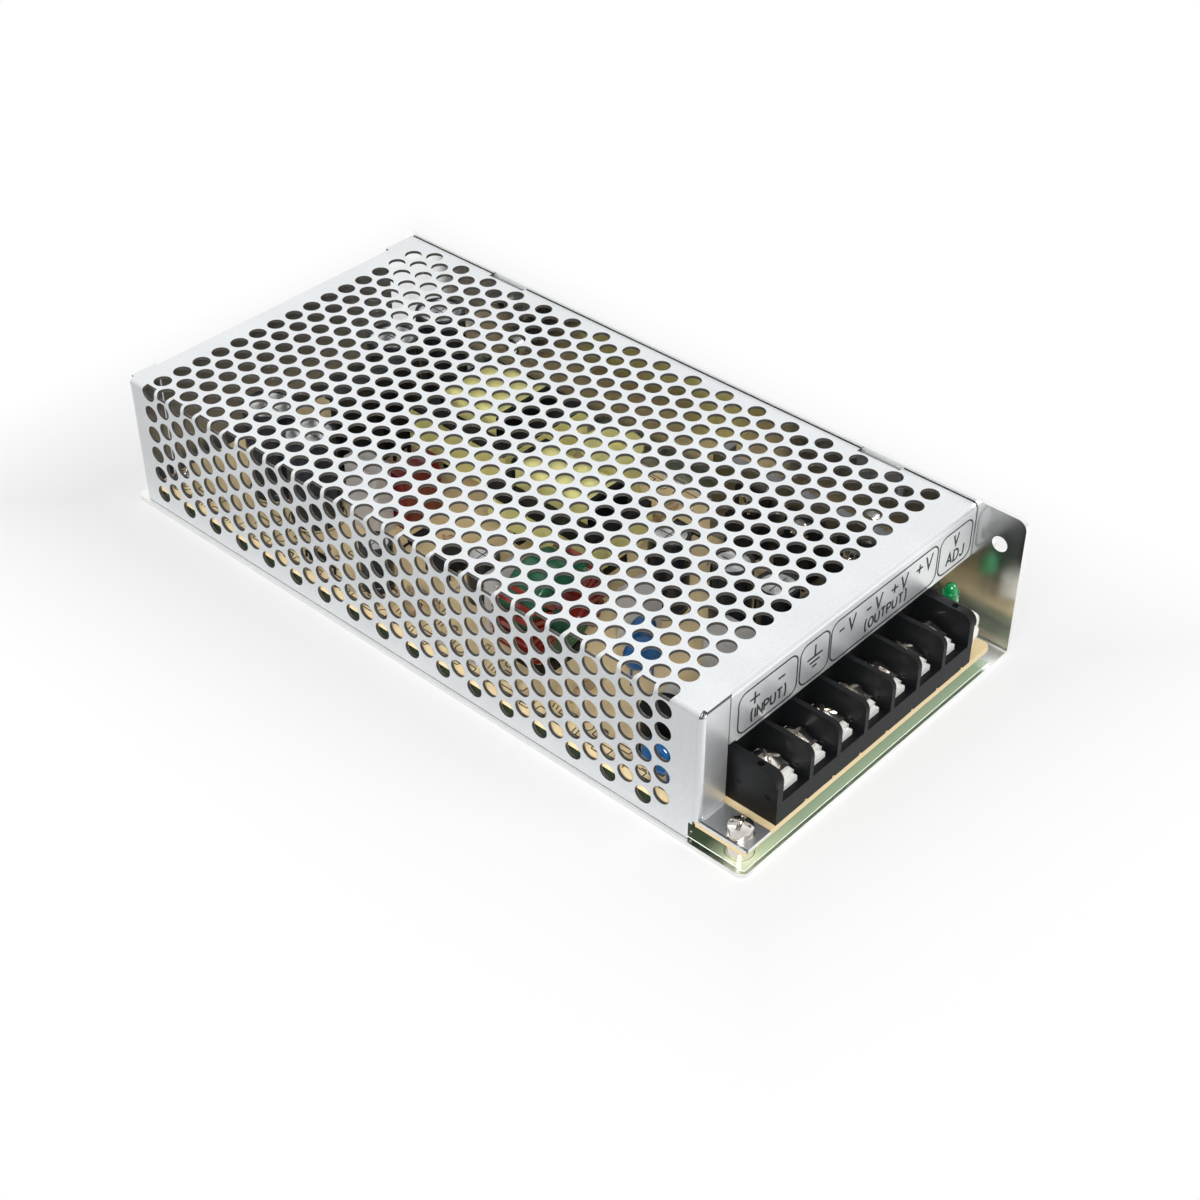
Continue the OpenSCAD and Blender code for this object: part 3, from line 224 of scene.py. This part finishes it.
def inside_group():
    """Two masks for the cover: 1 on its inner side, and 1 on the punched walls of its holes."""
    tree, start, end = new_group(
        "inner_side", {"Top": (FLOAT, 0.04), "Left": (FLOAT, -0.05), "Middle": (FLOAT, 0.02)},
        {"Inner": FLOAT, "Punched": FLOAT})
    where, facing = axes_of(tree, "Object"), axes_of(tree, "Normal")
    height = maths(tree, "SUBTRACT", where["Z"], start.outputs["Middle"])
    outward = maths(tree, "MULTIPLY", height, facing["Z"])
    for axis in ("X", "Y"):
        outward = maths(tree, "ADD", outward, maths(tree, "MULTIPLY", where[axis], facing[axis]))
    tree.links.new(maths(tree, "LESS_THAN", outward, -0.01), end.inputs["Inner"])
    in_top = maths(tree, "GREATER_THAN", where["Z"], start.outputs["Top"])
    in_left = maths(tree, "LESS_THAN", where["X"], start.outputs["Left"])
    walls = []
    for in_sheet, axis in ((in_top, "Z"), (in_left, "X")):
        across_sheet = maths(tree, "LESS_THAN", maths(tree, "ABSOLUTE", facing[axis]), 0.25)
        walls.append(maths(tree, "MULTIPLY", in_sheet, across_sheet))
    tree.links.new(maths(tree, "MAXIMUM", *walls), end.inputs["Punched"])
    return tree


GRAIN, STREAKS, LEVEL, INSIDE = grain_group(), streak_group(), level_group(), inside_group()


def placed(tree, group, **inputs):
    """A shared group in a material, with its own values."""
    node = tree.nodes.new("ShaderNodeGroup")
    node.node_tree = group
    for name, value in inputs.items():
        put(tree, node.inputs[name.replace("_", " ")], value)
    return node


def new_material(name, **fixed):
    """A material with one Principled shader; fixed holds what is the same all over."""
    made = bpy.data.materials.new(name)
    made.use_nodes = True
    tree = made.node_tree
    tree.nodes.clear()
    shader = tree.nodes.new("ShaderNodeBsdfPrincipled")
    output = tree.nodes.new("ShaderNodeOutputMaterial")
    tree.links.new(shader.outputs[0], output.inputs[0])
    for socket, value in fixed.items():
        put(tree, shader.inputs[socket.replace("_", " ")], value)
    return made, tree, shader


def bump(tree, shader, height, depth):
    """Relief of the given depth, in metres, where height runs from 0 to 1."""
    node = node_of(tree, "ShaderNodeBump", Height=height, Strength=1.0, Distance=depth)
    tree.links.new(node.outputs[0], shader.inputs["Normal"])


def grained(name, colour, roughness, spread=0.06, rough_spread=0.1, scale=900.0, depth=0.02, **fixed):
    """A plain finish with fine grain, of a relief of depth mm."""
    made, tree, shader = new_material(name, **fixed)
    grain = placed(tree, GRAIN, Colour=colour, Colour_Spread=spread, Roughness=roughness,
                   Roughness_Spread=rough_spread, Scale=scale)
    tree.links.new(grain.outputs["Colour"], shader.inputs["Base Color"])
    tree.links.new(grain.outputs["Roughness"], shader.inputs["Roughness"])
    bump(tree, shader, grain.outputs["Height"], depth * MM)
    return made


def mirror_sheet():
    """Bright rolled sheet, with soft marks up the wall."""
    made, tree, shader = new_material("bright_sheet", Metallic=1.0, Base_Color=(0.92, 0.92, 0.91))
    marks = placed(tree, STREAKS, Roughness=0.24, Roughness_Spread=0.16, Across=420.0, Along=14.0)
    tree.links.new(marks.outputs["Roughness"], shader.inputs["Roughness"])
    bump(tree, shader, marks.outputs["Height"], 0.003 * MM)
    return made


def zinc_sheet():
    """Satin zinc, with painted shade: darker grey on its inner side and near black on the walls of its holes.
    """
    satin, shaded_inner_grey, shaded_hole_wall = (0.82, 0.845, 0.86), (0.43, 0.44, 0.45), (0.07, 0.066, 0.06)
    satin_metal, shaded_hole_wall_metal = 0.87, 0.2
    made, tree, shader = new_material("zinc_sheet")
    low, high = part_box("cover")
    # just under the sheet's thickness, so that its inner faces stay out of the hole walls' mask
    within = 0.75 * MM
    grain = placed(tree, GRAIN, Colour=satin, Colour_Spread=0.2, Roughness=0.37, Roughness_Spread=0.14,
                   Scale=2600.0)
    masks = placed(tree, INSIDE, Top=high.z - within, Left=low.x + within, Middle=high.z / 2).outputs
    # painted shade: the inner side gets a darker grey and the hole walls a near-black, duller colour, as
    # shade inside the case
    colour = blend_colours(tree, masks["Inner"], grain.outputs["Colour"], shaded_inner_grey)
    colour = blend_colours(tree, masks["Punched"], colour, shaded_hole_wall)
    metal = between(tree, masks["Punched"], 0.0, 1.0, satin_metal, shaded_hole_wall_metal)
    tree.links.new(colour, shader.inputs["Base Color"])
    tree.links.new(metal, shader.inputs["Metallic"])
    tree.links.new(grain.outputs["Roughness"], shader.inputs["Roughness"])
    bump(tree, shader, grain.outputs["Height"], 0.0015 * MM)
    return made


def plated(name, colour, roughness):
    """Plated metal, with faint uneven polish."""
    made, tree, shader = new_material(name, Metallic=1.0, Base_Color=colour)
    marks = placed(tree, STREAKS, Roughness=roughness, Roughness_Spread=0.08, Across=1500.0, Along=1500.0)
    tree.links.new(marks.outputs["Roughness"], shader.inputs["Roughness"])
    return made


def laminate():
    """Board: tan above and on its edges, with painted light making it paler inside the case than along the
    open front; green solder mask underneath.
    """
    front_tan, painted_lit_tan, mask_green = (0.62, 0.49, 0.28), (0.92, 0.73, 0.42), (0.36, 0.50, 0.27)
    made, tree, shader = new_material("board_laminate")
    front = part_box("board")[0].y
    # painted light: the tan turns paler inside the case, standing in for light that comes through the cover
    painted_light_share = between(tree, axes_of(tree, "Object")["Y"], front + 12 * MM, front + 16 * MM)
    tan = blend_colours(tree, painted_light_share, front_tan, painted_lit_tan)
    grain = placed(tree, GRAIN, Colour=tan, Colour_Spread=0.1, Roughness=0.5, Roughness_Spread=0.1,
                   Scale=1400.0)
    under = placed(tree, LEVEL, Low=-1.0, High=1.0, Side=-1.0)
    colour = blend_colours(tree, under.outputs["Mask"], grain.outputs["Colour"], mask_green)
    tree.links.new(colour, shader.inputs["Base Color"])
    tree.links.new(grain.outputs["Roughness"], shader.inputs["Roughness"])
    bump(tree, shader, grain.outputs["Height"], 0.006 * MM)
    return made


def clear_film():
    """Clear polyester over the bright base, coloured with a painted reflection of the board's green
    underside: painted light makes it paler at the front left corner, and a painted highlight lies on its cut
    edge.
    """
    lit_corner_green, reflected_board_green, shaded_green = (0.66, 0.72, 0.50), (0.38, 0.47, 0.33), (0.07, 0.10, 0.06)
    edge_highlight = (0.88, 0.95, 0.85)
    sheet_cover, edge_cover = 0.65, 0.9
    made, tree, shader = new_material("clear_film", Roughness=0.12, IOR=1.57)
    low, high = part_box("insulating_sheet")
    corner = tree.nodes.new("ShaderNodeVectorMath")
    corner.operation = "DISTANCE"
    tree.links.new(surface(tree, "Object"), corner.inputs[0])
    corner.inputs[1].default_value = (low.x, low.y, high.z)
    # painted reflection and painted light: the board's reflected green, paler near the front left corner
    away = between(tree, corner.outputs["Value"], 4 * MM, 20 * MM)
    colour = blend_colours(tree, away, lit_corner_green, reflected_board_green)
    # the strip along the left side lies in the cover's shade
    where = axes_of(tree, "Object")
    left = maths(tree, "LESS_THAN", where["X"], low.x + 4 * MM)
    shaded = maths(tree, "MULTIPLY", left, between(tree, where["Y"], low.y + 4 * MM, low.y + 11 * MM))
    colour = blend_colours(tree, shaded, colour, shaded_green)
    upright = maths(tree, "ABSOLUTE", axes_of(tree, "Normal")["Z"])
    edge = maths(tree, "LESS_THAN", upright, 0.5)
    # painted highlight: the film's cut edge is near white
    tree.links.new(blend_colours(tree, edge, colour, edge_highlight), shader.inputs["Base Color"])
    tree.links.new(between(tree, edge, 0.0, 1.0, sheet_cover, edge_cover), shader.inputs["Alpha"])
    return made


def sleeved(name, colour, top):
    """Capacitor: shrunk sleeve, and bare aluminium on the sunk top, whose rim is at the height top."""
    made, tree, shader = new_material(name)
    grain = placed(tree, GRAIN, Colour=colour, Colour_Spread=0.08, Roughness=0.22, Roughness_Spread=0.06,
                   Scale=500.0)
    bare = placed(tree, LEVEL, Low=top - 1.2 * MM, High=top - 0.1 * MM, Side=1.0).outputs["Mask"]
    aluminium = (0.86, 0.87, 0.88)
    tree.links.new(blend_colours(tree, bare, grain.outputs["Colour"], aluminium), shader.inputs["Base Color"])
    tree.links.new(bare, shader.inputs["Metallic"])
    tree.links.new(grain.outputs["Roughness"], shader.inputs["Roughness"])
    bump(tree, shader, grain.outputs["Height"], 0.01 * MM)
    return made


def green_epoxy():
    """The lamp's lens: tinted, glossy and a little clear."""
    made, tree, shader = new_material("green_epoxy", Transmission_Weight=0.3, IOR=1.52, Roughness=0.08,
                                      Coat_Weight=0.6, Coat_Roughness=0.05)
    grain = placed(tree, GRAIN, Colour=(0.004, 0.25, 0.07), Colour_Spread=0.3, Scale=500.0)
    tree.links.new(grain.outputs["Colour"], shader.inputs["Base Color"])
    bump(tree, shader, grain.outputs["Height"], 0.01 * MM)
    return made


def taped():
    """Yellow polyester tape: glossy, and uneven over the turns beneath."""
    made, tree, shader = new_material("yellow_tape", Coat_Weight=0.4, Coat_Roughness=0.12)
    grain = placed(tree, GRAIN, Colour=(0.90, 0.85, 0.33), Colour_Spread=0.1, Roughness=0.3,
                   Roughness_Spread=0.1, Scale=250.0)
    tree.links.new(grain.outputs["Colour"], shader.inputs["Base Color"])
    tree.links.new(grain.outputs["Roughness"], shader.inputs["Roughness"])
    bump(tree, shader, grain.outputs["Height"], 0.06 * MM)
    return made


def give(material, *names):
    """Puts the material on the named nodes, in place of what they came with."""
    for name in names:
        data = nodes[name].data
        data.materials.clear()
        data.materials.append(material)


def finish_metals():
    """Sheets, screws, plates and legs."""
    screws = [f"terminal_screw_{n}" for n in TERMINALS]
    clamps = [f"clamp_{n}" for n in TERMINALS]
    give(zinc_sheet(), "cover")
    give(mirror_sheet(), "chassis")
    give(plated("nickel_plate", (0.86, 0.82, 0.76), 0.2), "standoffs", "pan_screws", "spring_washers",
         "plain_washer", "cover_screws", *screws, *clamps)
    give(grained("terminal_tin", (0.96, 0.96, 0.93), 0.35, 0.06, Metallic=0.4), "terminal_plates")
    give(plated("tin_plate", (0.90, 0.90, 0.88), 0.34), "lamp_leads", "trimmer_pins", "jumper_wires", "fuse")
    give(grained("black_anodised", (0.02, 0.02, 0.02), 0.4, 0.1), "primary_heatsink")
    give(grained("plain_aluminium", (0.35, 0.36, 0.37), 0.35, 0.08, Metallic=1.0), "output_heatsink")


def finish_plastics():
    """Board, sheet, mouldings and the lens."""
    give(laminate(), "board")
    give(clear_film(), "insulating_sheet")
    give(grained("black_plastic", (0.004, 0.0045, 0.005), 0.5, 0.12, 0.06, 1100.0, 0.008,
                 Specular_IOR_Level=0.22),
         "terminal_block", "main_bobbin", "second_bobbin", "ring_base", "drum_choke")
    give(grained("moulded_package", (0.010, 0.010, 0.011), 0.5, 0.2, 0.1, 1500.0, 0.02,
                 Specular_IOR_Level=0.3),
         "primary_transistors", "rectifiers", "control_ic", "diodes")
    give(grained("cream_plastic", (0.68, 0.67, 0.60), 0.35, 0.04), "trimmer_body", "trimmer_rotor",
         "optocouplers")
    give(grained("grey_plastic", (0.56, 0.54, 0.52), 0.4, 0.06), "film_capacitors")
    give(green_epoxy(), "lamp_lens")


def finish_components():
    """Capacitors, wound parts and resistors."""
    input_sleeve, other_sleeve = (0.018, 0.02, 0.026), (0.018, 0.02, 0.024)
    for name, colour in (("input_capacitors", input_sleeve), ("output_capacitors", other_sleeve),
                         ("small_capacitors", other_sleeve)):
        give(sleeved(name + "_sleeve", colour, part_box(name)[1].z), name)
    give(taped(), "main_winding", "second_winding", "main_tape", "second_tape", "filter_inductor")
    give(grained("ferrite", (0.012, 0.012, 0.013), 0.55, 0.2, 0.1, 1500.0, 0.03, Specular_IOR_Level=0.3),
         "main_core", "second_core")
    give(grained("green_coating", (0.016, 0.09, 0.045), 0.25, 0.1), "ring_core")
    give(grained("enamelled_copper", (0.19, 0.018, 0.012), 0.18, 0.2, 0.1, 600.0, 0.01, Coat_Weight=0.6),
         "ring_windings")
    give(grained("red_lacquer", (0.16, 0.009, 0.009), 0.2, 0.15, 0.08, 300.0, 0.05, Coat_Weight=0.5),
         "red_capacitor")
    give(grained("blue_lacquer", (0.01, 0.10, 0.28), 0.2, 0.15, 0.08, 400.0, 0.05, Coat_Weight=0.5),
         "disc_capacitors")
    give(grained("resistor_lacquer", (0.5, 0.36, 0.2), 0.3, 0.1), "resistors")


# Ink, drawn as thin films

def arc(cx, cy, rx, ry, start, end, steps=8):
    """Points of an elliptical arc, from start to end in degrees."""
    turns = [math.radians(start + (end - start) * k / steps) for k in range(steps + 1)]
    return [(cx + rx * math.cos(t), cy + ry * math.sin(t)) for t in turns]


# Each capital: its width as a share of its height, and its strokes on a unit square, closed or open
LETTERS = {
    "V": (0.66, [([(0, 1), (0.5, 0), (1, 1)], False)]),
    "A": (0.7, [([(0, 0), (0.5, 1), (1, 0)], False), ([(0.18, 0.34), (0.82, 0.34)], False)]),
    "D": (0.6, [([(0, 0), *arc(0.35, 0.5, 0.65, 0.5, -90, 90), (0, 1)], True)]),
    "J": (0.42, [([(1, 1), *arc(0.5, 0.24, 0.5, 0.24, 0, -170)], False)]),
    "I": (0.06, [([(0.5, 0), (0.5, 1)], False)]),
    "N": (0.62, [([(0, 0), (0, 1), (1, 0), (1, 1)], False)]),
    "P": (0.56, [([(0, 0), (0, 1), *arc(0.5, 0.73, 0.5, 0.27, 90, -90), (0, 0.46)], False)]),
    "U": (0.6, [([(0, 1), *arc(0.5, 0.32, 0.5, 0.32, 180, 360), (1, 1)], False)]),
    "T": (0.6, [([(0, 1), (1, 1)], False), ([(0.5, 1), (0.5, 0)], False)]),
    "O": (0.66, [(arc(0.5, 0.5, 0.5, 0.5, 0, 360 - 22.5, 15), True)]),
    "(": (0.24, [(arc(1.0, 0.5, 1.0, 0.75, 112, 248), False)]),
    ")": (0.24, [(arc(0.0, 0.5, 1.0, 0.75, 68, -68), False)]),
}


class Film:
    """Flat strokes on a plane, gathered into one thin mesh."""

    def __init__(self, origin, across, up, thickness=0.03 * MM):
        self.origin, self.across, self.up = Vector(origin), Vector(across), Vector(up)
        self.out = self.across.cross(self.up)
        self.thickness = thickness
        self.mesh = bmesh.new()

    def at(self, x, y, lift):
        """A point of the plane, lifted off it."""
        return self.origin + self.across * x + self.up * y + self.out * lift

    def stroke(self, points, width, closed=False):
        """A line of constant width along points, mitred at its corners, as one closed slab."""
        count = len(points)
        flat = [Vector(p) for p in points]
        left, right = [], []
        for i, p in enumerate(flat):
            before = flat[i - 1] if i > 0 or closed else None
            after = flat[(i + 1) % count] if i < count - 1 or closed else None
            along_in = (p - before).normalized() if before is not None else (after - p).normalized()
            along_out = (after - p).normalized() if after is not None else along_in
            bend = (along_in + along_out).normalized()
            side = Vector((-bend.y, bend.x))
            reach = width / 2 / max(0.3, side.dot(Vector((-along_in.y, along_in.x))))
            left.append(p + side * reach)
            right.append(p - side * reach)
        rings = [[self.mesh.verts.new(self.at(q.x, q.y, lift)) for q in line]
                 for line in (left, right) for lift in (0.0, self.thickness)]
        left_low, left_high, right_low, right_high = rings
        for i in range(count if closed else count - 1):
            j = (i + 1) % count
            self.mesh.faces.new((right_high[i], right_high[j], left_high[j], left_high[i]))
            self.mesh.faces.new((left_low[i], left_low[j], right_low[j], right_low[i]))
            self.mesh.faces.new((left_high[i], left_high[j], left_low[j], left_low[i]))
            self.mesh.faces.new((right_low[i], right_low[j], right_high[j], right_high[i]))
        if not closed:
            self.mesh.faces.new((left_low[0], right_low[0], right_high[0], left_high[0]))
            self.mesh.faces.new((left_high[-1], right_high[-1], right_low[-1], left_low[-1]))

    def circle(self, x, y, radius, width, sides=32):
        """A ring of the given radius to the middle of its line."""
        turns = [2 * math.pi * k / sides for k in range(sides)]
        self.stroke([(x + radius * math.cos(t), y + radius * math.sin(t)) for t in turns], width, closed=True)

    def frame(self, x0, y0, x1, y1, radius, width, steps=6):
        """Outline of a rectangle with round corners."""
        points = []
        for cx, cy, start in ((x1 - radius, y1 - radius, 0), (x0 + radius, y1 - radius, 90),
                              (x0 + radius, y0 + radius, 180), (x1 - radius, y0 + radius, 270)):
            for k in range(steps + 1):
                t = math.radians(start + 90 * k / steps)
                points.append((cx + radius * math.cos(t), cy + radius * math.sin(t)))
        self.stroke(points, width, closed=True)

    def words(self, text, x, y, height, width):
        """Plain capitals in strokes of one width, centred on x and standing on y."""
        gap = 0.24 * height
        spans = [LETTERS[c][0] * height for c in text]
        left = x - (sum(spans) + gap * (len(text) - 1)) / 2
        for c, span in zip(text, spans):
            for points, closed in LETTERS[c][1]:
                self.stroke([(left + px * span, y + py * height) for px, py in points], width, closed)
            left += span + gap

    def done(self, name, material):
        """Makes the piece, which rides on the case."""
        bmesh.ops.recalc_face_normals(self.mesh, faces=self.mesh.faces)
        data = bpy.data.meshes.new(name)
        self.mesh.to_mesh(data)
        self.mesh.free()
        data.materials.append(material)
        piece = bpy.data.objects.new(name, data)
        bpy.context.scene.collection.objects.link(piece)
        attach(piece, "root")


def flange_marks(ink):
    """Outlined fields over the terminals, with plain signs for polarity, earth and the adjuster."""
    film = Film((0, FLANGE_Y, 0), (1, 0, 0), (0, 0, 1))
    line, bold = 0.42 * MM, 0.54 * MM

    low, high, corner = 23.7 * MM, 34.3 * MM, 2.4 * MM
    # input, earth, output and adjuster
    for x0, x1 in ((-36.6, -17.2), (-16.3, -6.3), (-5.7, 33.2), (34.0, 46.6)):
        film.frame(x0 * MM, low, x1 * MM, high, corner, line)

    sign_z, arm, small_arm = 31.0 * MM, 1.6 * MM, 1.2 * MM

    def minus(x, reach):
        film.stroke([(x - 0.7 * reach, sign_z), (x + 0.7 * reach, sign_z)], bold)

    def plus(x, reach):
        film.stroke([(x - reach, sign_z), (x + reach, sign_z)], bold)
        film.stroke([(x, sign_z - reach), (x, sign_z + reach)], bold)

    plus(-31.3 * MM, arm)
    minus(-22.5 * MM, arm)
    for x, sign in ((0.0, minus), (9.6, minus), (19.0, plus), (28.3, plus)):
        sign((x - 2.0) * MM, small_arm)
        film.words("V", (x + 1.6) * MM, 29.2 * MM, 3.6 * MM, bold)

    word_z = 25.4 * MM
    film.words("(INPUT)", -26.6 * MM, word_z, 2.6 * MM, bold)
    film.words("(OUTPUT)", 14.2 * MM, word_z, 2.6 * MM, bold)
    film.words("V", 40.3 * MM, 30.0 * MM, 2.9 * MM, bold)
    film.words("ADJ", 40.5 * MM, word_z, 3.0 * MM, bold)

    earth_x, earth_z = -11.2 * MM, 29.5 * MM
    film.stroke([(earth_x, 32.6 * MM), (earth_x, earth_z)], bold)
    for drop, half in ((0.0, 2.6), (1.3, 1.7), (2.6, 0.8)):
        z = earth_z - drop * MM
        film.stroke([(earth_x - half * MM, z), (earth_x + half * MM, z)], bold)
    film.done("flange_marks", ink)


def small_mark(film, chance, x, y, line):
    """One printed mark whose lower end is at y, in mm: a box, a ring or slanted strokes. Gives its length."""
    length = chance.choice((2.6, 4.0, 6.0, 8.0))
    half = chance.choice((0.7, 1.0, 1.3))
    kind = chance.random()
    left, right = (x - half) * MM, (x + half) * MM
    if kind < 0.45:
        film.frame(left, y * MM, right, (y + length) * MM, 0.3 * MM, line, 2)
    elif kind < 0.65:
        film.circle(x * MM, (y + half + 0.4) * MM, (half + 0.4) * MM, line, 16)
        length = 2 * half + 0.8
    else:
        for k in range(chance.choice((2, 3))):
            step = 1.1 * k
            film.stroke([(left, (y + step) * MM), (right, (y + step + 0.5) * MM)], line)
    if chance.random() < 0.5:
        tick_x = (x + half + 0.4) * MM
        film.stroke([(tick_x, (y + 0.4) * MM), (tick_x, (y + 1.9) * MM)], line)
    return length


def board_marks(ink):
    """Print on the board: lines along its sides, rings at the capacitors and rows of small marks."""
    film = Film((0, 0, BOARD_Z), (1, 0, 0), (0, 1, 0), 0.02 * MM)
    low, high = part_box("board")
    edge, line = 1.4 * MM, 0.28 * MM
    left_x, right_x = low.x + edge + 1.1 * MM, high.x - edge
    film.stroke([(left_x, low.y + edge + 12 * MM), (left_x, high.y - edge)], line)
    film.stroke([(right_x, low.y + 18 * MM), (right_x, high.y - edge)], line)
    for name, can_d in (("input_capacitors", 13), ("output_capacitors", 10)):
        for x, y in centres(name):
            film.circle(x, y, (can_d / 2 + 0.6) * MM, line)
    chance = random.Random(11)
    # each row of small marks, in mm: its x, and the y of its two ends
    for x, y0, y1 in ((-44.6, -84, 90), (-41.2, -84, 84), (-37.6, -30, 60), (-33.8, 0, 34), (37.5, -14, 66),
                      (21.0, -70, -30)):
        y = y0
        while y < y1:
            y += small_mark(film, chance, x, y, line) + chance.choice((1.0, 1.6, 2.4))
    film.done("board_marks", ink)


def centres(name):
    """Middle of each separate solid of a node, seen from above; solids inside one another count once."""
    least_points, same_place = 8, 2 * MM
    mesh = bmesh.new()
    mesh.from_mesh(nodes[name].data)
    seen, found = set(), []
    for start in mesh.verts:
        if start in seen:
            continue
        stack, island = [start], []
        seen.add(start)
        while stack:
            vert = stack.pop()
            island.append(vert.co)
            for edge in vert.link_edges:
                other = edge.other_vert(vert)
                if other not in seen:
                    seen.add(other)
                    stack.append(other)
        if len(island) > least_points:
            xs, ys = [c.x for c in island], [c.y for c in island]
            middle = ((min(xs) + max(xs)) / 2, (min(ys) + max(ys)) / 2)
            if not any(math.dist(middle, other) < same_place for other in found):
                found.append(middle)
    mesh.free()
    return found


# Studio

def seen_rays(tree, shown, mirrored):
    """A share, 1 on rays that look, and the strength that they see: shown to the camera, else mirrored."""
    paths = tree.nodes.new("ShaderNodeLightPath")
    camera = paths.outputs["Is Camera Ray"]
    share = camera
    for other in ("Is Glossy Ray", "Is Transmission Ray"):
        share = maths(tree, "MAXIMUM", share, paths.outputs[other])
    strength = maths(tree, "ADD", maths(tree, "MULTIPLY", camera, shown),
                     maths(tree, "MULTIPLY", maths(tree, "SUBTRACT", 1.0, camera), mirrored))
    return share, strength


def emptied(block):
    """The block's node tree, with nothing in it."""
    block.use_nodes = True
    block.node_tree.nodes.clear()
    return block.node_tree


def end_in(tree, output_kind, share, under, over):
    """Ends the tree in the shader under, with over laid on it by its share."""
    mix = tree.nodes.new("ShaderNodeMixShader")
    tree.links.new(share, mix.inputs[0])
    tree.links.new(under.outputs[0], mix.inputs[1])
    tree.links.new(over.outputs[0], mix.inputs[2])
    tree.links.new(mix.outputs[0], tree.nodes.new(output_kind).inputs[0])


def set_world():
    """White to the camera; metal mirrors a bright sky behind the case, and a dimmer room before it."""
    world = bpy.data.worlds.new("studio")
    bpy.context.scene.world = world
    tree = emptied(world)
    lit, room, sky = 0.2, 0.35, 1.0
    toward = axes_of(tree, "Generated")
    backward = maths(tree, "ADD", toward["X"], toward["Y"])
    share, strength = seen_rays(tree, 1.0, between(tree, backward, -0.9, 0.3, room, sky))
    lamp = node_of(tree, "ShaderNodeBackground", Color=(1, 1, 1), Strength=lit)
    seen = node_of(tree, "ShaderNodeBackground", Color=(1, 1, 1), Strength=strength)
    end_in(tree, "ShaderNodeOutputWorld", share, lamp, seen)


def set_floor():
    """White paper that keeps the case's shadow; in reflections it is dimmer beside the case's left side."""
    paper = bpy.data.materials.new("white_floor")
    tree = emptied(paper)
    where = axes_of(tree, "Object")
    left_level = between(tree, where["Y"], -0.1, 0.12, 0.38, 0.6)
    mirrored = between(tree, where["X"], -0.06, -0.04, left_level, 1.2)
    # the shadow shows close to the case; past that the paper glows evenly
    near, far = 0.01, 0.06
    beyond = maths(tree, "MAXIMUM",
                   maths(tree, "SUBTRACT", maths(tree, "ABSOLUTE", where["X"]), cad_high.x),
                   maths(tree, "SUBTRACT", maths(tree, "ABSOLUTE", where["Y"]), cad_high.y))
    share, strength = seen_rays(tree, between(tree, beyond, near, far, 1.08, 1.0), mirrored)
    share = maths(tree, "MULTIPLY", share, between(tree, beyond, near, far, 0.4, 1.0))
    diffuse = node_of(tree, "ShaderNodeBsdfDiffuse", Color=(0.62, 0.62, 0.62))
    glow = node_of(tree, "ShaderNodeEmission", Color=(1, 1, 1), Strength=strength)
    end_in(tree, "ShaderNodeOutputMaterial", share, diffuse, glow)
    bpy.ops.mesh.primitive_plane_add(size=6, location=(0, 0, 0))
    floor = bpy.context.active_object
    floor.name = "floor"
    floor.data.materials.append(paper)


def set_lamps():
    """Soft light from above and from both near sides; the key stands by the camera and shows in metal."""
    area_lamp("overhead", (0.2, 0.25, 1.1), 0.9, 1.5)
    area_lamp("left_side", (-1.0, -0.3, 0.5), 0.4, 4.0)
    area_lamp("front_right", (0.35, -1.0, 0.45), 0.4, 4.0)
    area_lamp("key", TARGET + towards_camera() * 1.0, 0.25, 10.5, mirrored=True)


def area_lamp(name, place_at, size, power, mirrored=False):
    """A square lamp that looks at the object; mirrored when glossy surfaces show it."""
    data = bpy.data.lights.new(name, "AREA")
    data.shape, data.size, data.energy = "SQUARE", size, power
    lamp = bpy.data.objects.new(name, data)
    bpy.context.scene.collection.objects.link(lamp)
    lamp.location = place_at
    lamp.rotation_mode = "QUATERNION"
    lamp.rotation_quaternion = (-Vector(place_at)).to_track_quat("-Z", "Y")
    lamp.visible_glossy = mirrored


def main():
    set_camera()
    set_world()
    set_floor()
    set_lamps()
    finish_metals()
    finish_plastics()
    finish_components()
    ink = grained("black_ink", (0.015, 0.015, 0.017), 0.5, 0.1)
    flange_marks(ink)
    board_marks(ink)
    view = bpy.context.scene.view_settings
    view.view_transform = "Standard"


main()
